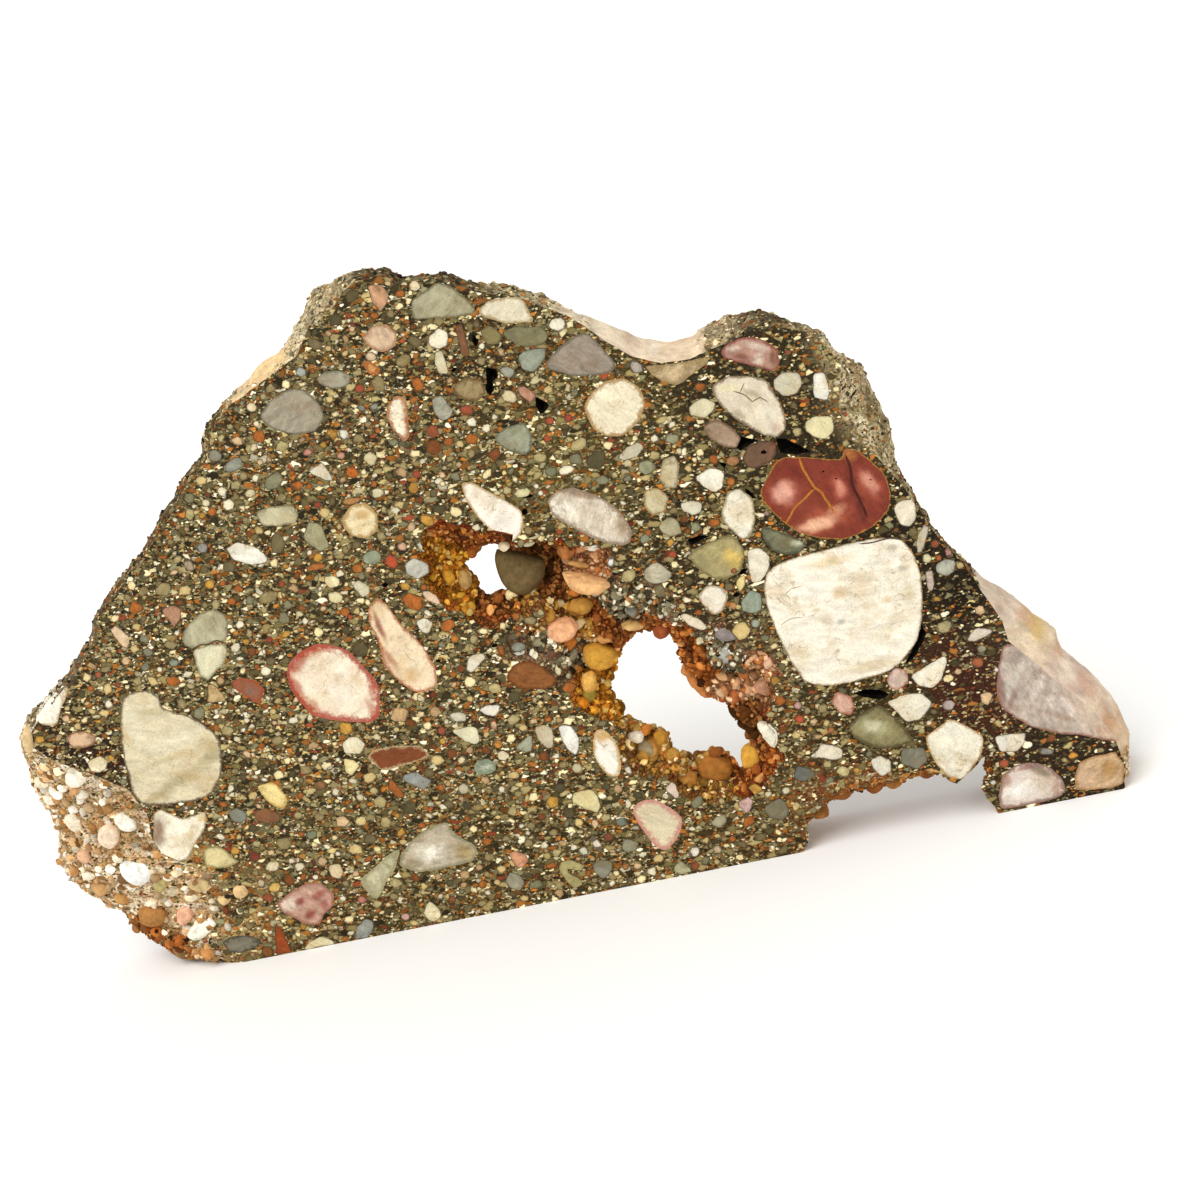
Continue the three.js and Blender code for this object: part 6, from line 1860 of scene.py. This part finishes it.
def new_material(name):
    """A material with its tree, shader, and Object coordinates in millimetres."""
    material = bpy.data.materials.new(name)
    material.use_nodes = True
    tree = material.node_tree
    shader = tree.nodes["Principled BSDF"]
    shader.inputs["Metallic"].default_value = 0
    place = add(tree, "ShaderNodeTexCoord")
    to_mm = add(tree, "ShaderNodeMapping", {"Vector": place.outputs["Object"], "Scale": (1000, 1000, 1000)})
    return material, tree, shader, to_mm.outputs["Vector"]


# %% [markdown]
# ### Sandstone matrix
#
# Between the pebbles lies coarse sand, 0.3 to 1.2 mm, of every colour the pebbles have, held in dark
# iron cement. Three sizes of Voronoi cell stand for three sieve sizes, squeezed a little so that the
# grains lie along the bedding. A cell counts as a grain by chance; its distance to the edge leaves a
# line of cement round it and makes its middle lighter. Small pits are the peaks of a fine noise,
# painted nearly black: a painted shade in the pits, with a dip in the bump.

# %% Grain layers
GRAIN_RAMP = [
    (0.0, "#6c603a"), (0.13, "#8e7e50"), (0.24, "#3e3520"), (0.34, "#a79766"), (0.44, "#935e2a"),
    (0.53, "#6f6848"), (0.61, "#c2ac72"), (0.7, "#b2702c"), (0.77, "#4c3c20"), (0.83, "#e8d8a6"),
    (0.9, "#86815e"), (0.945, "#f4e8c6"), (0.98, "#94492c"),
]
BEDDING = (0.85, 1.0, 1.3)  # cells are longer along x and flatter along z


def grain_layer(tree, place, under, sand, cell_mm, share, turn):
    """Voronoi cells of one size: chosen cells cover what is under them with their ramp colour, and the
    mesh's share of sand thins them. Returns the mixed colour and the mask."""
    squeezed = add(tree, "ShaderNodeMapping", {
        "Vector": place, "Rotation": (0, turn, 0), "Scale": BEDDING}).outputs["Vector"]
    cells = add(tree, "ShaderNodeTexVoronoi", {"Vector": squeezed, "Scale": 1 / cell_mm})
    edges = add(tree, "ShaderNodeTexVoronoi", {
        "Vector": squeezed, "Scale": 1 / cell_mm}, feature="DISTANCE_TO_EDGE")
    parts = add(tree, "ShaderNodeSeparateColor", {"Color": cells.outputs["Color"]})
    wanted = add(tree, "ShaderNodeMath", {0: sand, 1: share}, operation="MULTIPLY").outputs[0]
    chosen = add(tree, "ShaderNodeMath", {0: parts.outputs["Red"], 1: wanted}, operation="LESS_THAN")
    body = add(tree, "ShaderNodeMapRange", {
        "Value": edges.outputs["Distance"], "From Min": 0.04, "From Max": 0.1})
    mask = add(tree, "ShaderNodeMath", {
        0: chosen.outputs[0], 1: body.outputs["Result"]}, operation="MULTIPLY")
    ramp = add(tree, "ShaderNodeValToRGB", {"Fac": parts.outputs["Green"]})
    stops = ramp.color_ramp
    stops.interpolation = "CONSTANT"
    while len(stops.elements) < len(GRAIN_RAMP):
        stops.elements.new(0.5)
    for stop, (position, code) in zip(stops.elements, GRAIN_RAMP):
        stop.position = position
        stop.color = hex_colour(code)
    chance_light = add(tree, "ShaderNodeMapRange", {
        "Value": parts.outputs["Blue"], "To Min": 0.4, "To Max": 1.3})
    middle_light = add(tree, "ShaderNodeMapRange", {
        "Value": edges.outputs["Distance"], "From Min": 0.05, "From Max": 0.3, "To Min": 0.7, "To Max": 1.12})
    light = add(tree, "ShaderNodeMath", {
        0: chance_light.outputs["Result"], 1: middle_light.outputs["Result"]}, operation="MULTIPLY")
    shade = add(tree, "ShaderNodeHueSaturation", {"Value": light.outputs[0], "Color": ramp.outputs["Color"]})
    mixed = add(tree, "ShaderNodeMix", {
        0: mask.outputs[0], 6: under, 7: shade.outputs["Color"]}, data_type="RGBA")
    return mixed.outputs[2], mask.outputs[0]


def sandy(name, roughness, bump_mm, strength, layers, specular, pit_share):
    """Cement tinted by the mesh, with grain layers over it, small pits painted nearly black as painted
    shade, and a bump from the grains.
    """
    material, tree, shader, place = new_material(name)
    tint = add(tree, "ShaderNodeAttribute", attribute_name="tint")
    wander = add(tree, "ShaderNodeTexNoise", {"Vector": place, "Scale": 1.6, "Detail": 2.0})
    shift = add(tree, "ShaderNodeVectorMath", {
        0: wander.outputs["Color"], 1: (0.35, 0.35, 0.35)}, operation="MULTIPLY")
    bent = add(tree, "ShaderNodeVectorMath", {0: place, 1: shift.outputs[0]}, operation="ADD").outputs[0]
    mottle = add(tree, "ShaderNodeTexNoise", {"Vector": place, "Scale": 2.6, "Detail": 4.0})
    tone = add(tree, "ShaderNodeMapRange", {
        "Value": mottle.outputs["Fac"], "From Min": 0.3, "From Max": 0.7, "To Min": 0.35, "To Max": 1.5})
    colour = add(tree, "ShaderNodeHueSaturation", {
        "Value": tone.outputs["Result"], "Color": tint.outputs["Color"]}).outputs["Color"]
    height = None
    for cell_mm, share, turn in layers:
        colour, mask = grain_layer(tree, bent, colour, tint.outputs["Alpha"], cell_mm, share, turn)
        if height is None:
            height = mask
        else:
            height = add(tree, "ShaderNodeMath", {0: height, 1: mask}, operation="MAXIMUM").outputs[0]
    flat_lying = add(tree, "ShaderNodeMapping", {"Vector": place, "Scale": BEDDING}).outputs["Vector"]
    fine = add(tree, "ShaderNodeTexNoise", {
        "Vector": flat_lying, "Scale": 1.9, "Detail": 3.0, "Roughness": 0.6})
    pit_shade_and_dip = add(tree, "ShaderNodeMapRange", {
        "Value": fine.outputs["Fac"], "From Min": pit_share, "From Max": pit_share + 0.03})
    # pits are mixed in nearly black, #0f0c08: a painted shade in the pits
    final = add(tree, "ShaderNodeMix", {
        0: pit_shade_and_dip.outputs["Result"], 6: colour, 7: hex_colour("#0f0c08")}, data_type="RGBA")
    tree.links.new(final.outputs[2], shader.inputs["Base Color"])
    gloss = add(tree, "ShaderNodeMapRange", {
        "Value": height, "To Min": roughness + 0.12, "To Max": roughness})
    tree.links.new(gloss.outputs["Result"], shader.inputs["Roughness"])
    drop = add(tree, "ShaderNodeMath", {0: height, 1: pit_shade_and_dip.outputs["Result"]}, operation="SUBTRACT")
    bump = add(tree, "ShaderNodeBump", {
        "Height": drop.outputs[0], "Strength": strength, "Distance": bump_mm / 1000})
    tree.links.new(bump.outputs["Normal"], shader.inputs["Normal"])
    shader.inputs["IOR"].default_value = 1.5
    shader.inputs["Specular IOR Level"].default_value = specular
    return material


# each layer: cell size in mm, share of cells that are grains, turn in radians
FINE_SAND, COARSE_SAND, GRIT = (0.34, 0.78, 0.15), (0.6, 0.5, -0.2), (1.0, 0.36, 0.1)
SAND_SIZES = [FINE_SAND, COARSE_SAND, GRIT]
matrix = sandy("iron_cemented_sandstone_polished", 0.45, 0.05, 0.5, SAND_SIZES, 0.08, 0.645)
broken = sandy("conglomerate_broken_face", 0.9, 0.2, 0.7, [(0.32, 0.3, 0.3), (0.6, 0.18, -0.3)], 0.06, 0.67)

# %% [markdown]
# ### Cut pebbles
#
# A cut pebble shows its inside. Milky quartz is cloudy with fine healed cracks; quartzite is a tight
# sugar of grains; siltstone is even and dull; ironstone is blotched; jasper is dense red with ochre
# veins. One recipe draws streaky clouds, stains, sugar, specks, cracks and the stained rind, and each
# rock sets its amounts. Every pebble is turned by its own chance, so no two have streaks alike.

# %% Pebble materials
NOISE_SOCKETS = ("Vector", "Scale", "Detail", "Roughness", "Distortion")
RANGE_SOCKETS = ("Value", "From Min", "From Max", "To Min", "To Max")
FULL_TURN = 6.283  # radians
QUARTZ_IOR = 1.54


def cut_pebble(name, roughness, cloud, cloud_mm, stain, speck, crack, specular=0.15):
    """Tint times streaky clouds and fine sugar, with stains, specks, cracks, a darker edge and a rind
    that fades from the outline inwards. stain, speck and crack are (strength, colour)."""
    material, tree, shader, place = new_material(name)
    tint, rind, inside, seed = (
        add(tree, "ShaderNodeAttribute", attribute_name=key) for key in ("tint", "rind", "inside", "seed"))
    moved = add(tree, "ShaderNodeVectorMath", {
        0: seed.outputs["Fac"], 1: (57.0, 91.0, 33.0)}, operation="MULTIPLY")
    own = add(tree, "ShaderNodeVectorMath", {0: place, 1: moved.outputs[0]}, operation="ADD").outputs[0]
    angle = add(tree, "ShaderNodeMath", {0: seed.outputs["Fac"], 1: FULL_TURN}, operation="MULTIPLY")
    own = add(tree, "ShaderNodeVectorRotate", {
        "Vector": own, "Angle": angle.outputs[0]}, rotation_type="Y_AXIS").outputs["Vector"]
    streaky = add(tree, "ShaderNodeMapping", {"Vector": own, "Scale": (0.7, 1, 1.8)}).outputs["Vector"]

    noises = {}
    for key, *row in (
        ("clouds", streaky, 1 / cloud_mm, 5.0, 0.62, 0.6),
        ("sugar", own, 3.8, 2.0, 0.7, 0.0),
        ("patchy", own, 0.55 / cloud_mm, 4.0, 0.6, 0.0),
        ("specks", own, 2.6, 3.0, 0.7, 0.0),
        ("folds", own, 0.42, 2.0, 0.5, 0.8),
        ("rag", place, 2.8, 2.0, 0.6, 0.0),
        ("wide_rag", place, 0.8, 3.0, 0.6, 0.0),
    ):
        noises[key] = add(tree, "ShaderNodeTexNoise", dict(zip(NOISE_SOCKETS, row))).outputs["Fac"]
    from_half = add(tree, "ShaderNodeMath", {0: noises["folds"], 1: 0.5}, operation="SUBTRACT").outputs[0]
    ridge = add(tree, "ShaderNodeMath", {0: from_half}, operation="ABSOLUTE").outputs[0]
    bands = {"rind_width": rind.outputs["Alpha"]}
    for key, *row in (
        ("light", noises["clouds"], 0.3, 0.7, 1 - cloud, 1 + cloud * 0.45),
        ("sugar_light", noises["sugar"], 0.3, 0.7, 0.86, 1.1),
        ("edge_light", inside.outputs["Fac"], 0.0, 0.45, 0.78, 1.02),
        ("stain", noises["patchy"], 0.5, 0.66, 0.0, stain[0]),
        ("speck", noises["specks"], 0.6, 0.7, 0.0, speck[0]),
        ("crack", ridge, 0.012, 0.002, 0.0, crack[0]),
        ("cracked_part", noises["patchy"], 0.44, 0.56, 0.0, 1.0),
        ("rag", noises["rag"], 0.3, 0.7, 0.6, 1.4),
        ("wide_rag", noises["wide_rag"], 0.3, 0.7, 0.25, 1.7),
        ("rind_light", noises["sugar"], 0.3, 0.7, 0.65, 1.2),
        ("roughness", noises["clouds"], 0.3, 0.7, roughness - 0.05, roughness + 0.1),
    ):
        bands[key] = add(tree, "ShaderNodeMapRange", dict(zip(RANGE_SOCKETS, row))).outputs["Result"]
    for key, factor in (
        ("light", "sugar_light"), ("light", "edge_light"), ("crack", "cracked_part"),
        ("wide_rag", "rag"), ("rind_width", "wide_rag"),
    ):
        bands[key] = add(tree, "ShaderNodeMath", {
            0: bands[key], 1: bands[factor]}, operation="MULTIPLY").outputs[0]
    widths_in = add(tree, "ShaderNodeMath", {
        0: inside.outputs["Fac"], 1: bands["rind_width"]}, operation="DIVIDE").outputs[0]
    rind_share = add(tree, "ShaderNodeMapRange", dict(zip(RANGE_SOCKETS, (widths_in, 1.5, 0.5, 0.0, 0.88))))
    mottled = add(tree, "ShaderNodeHueSaturation", {
        "Value": bands["rind_light"], "Color": rind.outputs["Color"]}).outputs["Color"]
    colour = add(tree, "ShaderNodeHueSaturation", {
        "Value": bands["light"], "Color": tint.outputs["Color"]}).outputs["Color"]
    for share, above in (
        (bands["stain"], hex_colour(stain[1])), (bands["speck"], hex_colour(speck[1])),
        (bands["crack"], hex_colour(crack[1])), (rind_share.outputs["Result"], mottled),
    ):
        colour = add(tree, "ShaderNodeMix", {0: share, 6: colour, 7: above}, data_type="RGBA").outputs[2]
    tree.links.new(colour, shader.inputs["Base Color"])
    tree.links.new(bands["roughness"], shader.inputs["Roughness"])
    bump = add(tree, "ShaderNodeBump", {"Height": noises["sugar"], "Strength": 0.2, "Distance": 0.00005})
    tree.links.new(bump.outputs["Normal"], shader.inputs["Normal"])
    shader.inputs["IOR"].default_value = QUARTZ_IOR
    shader.inputs["Specular IOR Level"].default_value = specular
    return material


quartz = cut_pebble(
    "milky_quartz_polished", 0.36, 0.24, 2.2, (0.38, "#bd9a58"), (0.36, "#978252"), (0.5, "#806a42"))
quartzite = cut_pebble(
    "quartzite_polished", 0.38, 0.36, 1.3, (0.35, "#8c6c4e"), (0.5, "#665a48"), (0.35, "#564c3a"))
siltstone = cut_pebble(
    "siltstone_polished", 0.48, 0.32, 1.6, (0.45, "#74633a"), (0.4, "#544f34"), (0.3, "#423c28"), 0.1)
ironstone = cut_pebble(
    "ironstone_polished", 0.48, 0.4, 1.1, (0.4, "#6e4220"), (0.45, "#4c2e16"), (0.35, "#342210"), 0.1)
jasper = cut_pebble(
    "red_jasper_polished", 0.34, 0.26, 1.6, (0.25, "#9c4c34"), (0.35, "#4e1c12"), (0.4, "#421810"))
cobble = cut_pebble(
    "quartzite_broken", 0.8, 0.3, 1.9, (0.35, "#c39a80"), (0.35, "#b89468"), (0.35, "#a07c5c"), 0.08)

# %% [markdown]
# ### Rusty crust
#
# In the hollow the cement rotted to limonite, a crumbly ochre rust with no shine at all. The mesh
# gives its zones and noise breaks them up. Voronoi cells stand for the grains that lie packed in it:
# each has its own light and hue, and a dark seam round it, a painted shade in the crevices between
# grains. Loose grains and whole stones need no seams.

# %% Crust and loose grains
def crust_material(name, speck_mm, contrast, bump_mm, packed_mm=0):
    """Tint times noise at grain size and at dust size, with a rough bump of it. Where grains lie packed,
    each Voronoi cell is a grain with its own light and hue, and a dark seam round it, a painted shade in
    the crevices between grains."""
    material, tree, shader, place = new_material(name)
    tint = add(tree, "ShaderNodeAttribute", attribute_name="tint")
    coarse = add(tree, "ShaderNodeTexNoise", {
        "Vector": place, "Scale": 1 / speck_mm, "Detail": 5.0, "Roughness": 0.65})
    tone = add(tree, "ShaderNodeMapRange", {
        "Value": coarse.outputs["Fac"], "From Min": 0.3, "From Max": 0.7,
        "To Min": 1 - contrast, "To Max": 1 + contrast})
    colour = add(tree, "ShaderNodeHueSaturation", {
        "Value": tone.outputs["Result"], "Color": tint.outputs["Color"]}).outputs["Color"]
    height = coarse.outputs["Fac"]
    if packed_mm:
        size = {"Vector": place, "Scale": 1 / packed_mm}
        cells = add(tree, "ShaderNodeTexVoronoi", size)
        edges = add(tree, "ShaderNodeTexVoronoi", size, feature="DISTANCE_TO_EDGE")
        parts = add(tree, "ShaderNodeSeparateColor", {"Color": cells.outputs["Color"]})
        own_light = add(tree, "ShaderNodeMapRange", {
            "Value": parts.outputs["Green"], "To Min": 0.6, "To Max": 2.1})
        own_hue = add(tree, "ShaderNodeMapRange", {
            "Value": parts.outputs["Red"], "To Min": 0.475, "To Max": 0.515})
        # the seam darkens each grain's edge, a painted shade in the crevices between grains, and it shapes
        # the bump too
        seam = add(tree, "ShaderNodeMapRange", {
            "Value": edges.outputs["Distance"], "From Min": 0.02, "From Max": 0.16, "To Min": 0.35})
        light = add(tree, "ShaderNodeMath", {
            0: own_light.outputs["Result"], 1: seam.outputs["Result"]}, operation="MULTIPLY")
        colour = add(tree, "ShaderNodeHueSaturation", {
            "Hue": own_hue.outputs["Result"], "Value": light.outputs[0], "Color": colour}).outputs["Color"]
        height = add(tree, "ShaderNodeMath", {
            0: height, 1: seam.outputs["Result"]}, operation="ADD").outputs[0]
    tree.links.new(colour, shader.inputs["Base Color"])
    bump = add(tree, "ShaderNodeBump", {
        "Height": height, "Strength": 0.7, "Distance": bump_mm / 1000})
    tree.links.new(bump.outputs["Normal"], shader.inputs["Normal"])
    shader.inputs["Roughness"].default_value = 0.85
    shader.inputs["IOR"].default_value = 1.5
    shader.inputs["Specular IOR Level"].default_value = 0.06
    return material


crust = crust_material("limonite_crust", 0.5, 0.4, 0.3, packed_mm=0.62)
grain = crust_material("loose_sand_grain", 0.6, 0.3, 0.12)
river_skin = crust_material("river_pebble_skin", 0.8, 0.32, 0.12)

# %% [markdown]
# ## Putting the pieces together
#
# The slab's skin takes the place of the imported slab, and the stones and grains ride on the same body.

# %% Pieces
slab_stone = make_piece("slab_stone", slab_points, slab_cells, slab_data, [
    matrix, quartz, quartzite, siltstone, ironstone, jasper, broken, crust, cobble], slab_slots)
proud = make_piece("proud_stones", *proud_mesh, [river_skin], sharp=60)
edge_grains = make_piece("edge_grains", *edge_grain_mesh, [grain], sharp=25)
hollow_grains = make_piece("hollow_grains", *hollow_grain_mesh, [grain], sharp=25)
for piece in (slab_stone, proud, edge_grains, hollow_grains):
    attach(piece, "root")
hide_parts("slab")

# %% [markdown]
# ## Light and floor
#
# A bright tabletop: nearly white paper, soft light from all round, and one sun-like lamp above, to the
# left and in front. The lamp is 45 degrees wide, so the shadow under the slab is faint and soft.

# %% Floor, lamp and world
paper, _, paper_shader, _ = new_material("white_paper")
paper_shader.inputs["Base Color"].default_value = hex_colour("#fcfcfc")
paper_shader.inputs["Roughness"].default_value = 0.9
paper_shader.inputs["Specular IOR Level"].default_value = 0.1
FLOOR_HALF = 4.0  # metres
floor_corners = [(-FLOOR_HALF, -FLOOR_HALF, 0), (FLOOR_HALF, -FLOOR_HALF, 0),
                 (FLOOR_HALF, FLOOR_HALF, 0), (-FLOOR_HALF, FLOOR_HALF, 0)]
floor_mesh = bpy.data.meshes.new("floor")
floor_mesh.from_pydata(floor_corners, [], [(0, 1, 2, 3)])
floor_mesh.materials.append(paper)
floor = bpy.data.objects.new("floor", floor_mesh)
bpy.context.scene.collection.objects.link(floor)

world = bpy.data.worlds.new("studio")
world.use_nodes = True
world.node_tree.nodes["Background"].inputs["Color"].default_value = (1.0, 0.988, 0.955, 1.0)
world.node_tree.nodes["Background"].inputs["Strength"].default_value = 0.85
bpy.context.scene.world = world

SUN_FROM = Vector((-0.45, -0.55, 1.0))  # up, to the left and in front
sun = bpy.data.lights.new("soft_sun", "SUN")
sun.energy = 1.5
sun.color = (1.0, 0.985, 0.95)
sun.angle = math.radians(45)
sun_holder = bpy.data.objects.new("soft_sun", sun)
sun_holder.rotation_euler = SUN_FROM.to_track_quat("Z", "Y").to_euler()
bpy.context.scene.collection.objects.link(sun_holder)
bpy.context.scene.view_settings.view_transform = "Standard"
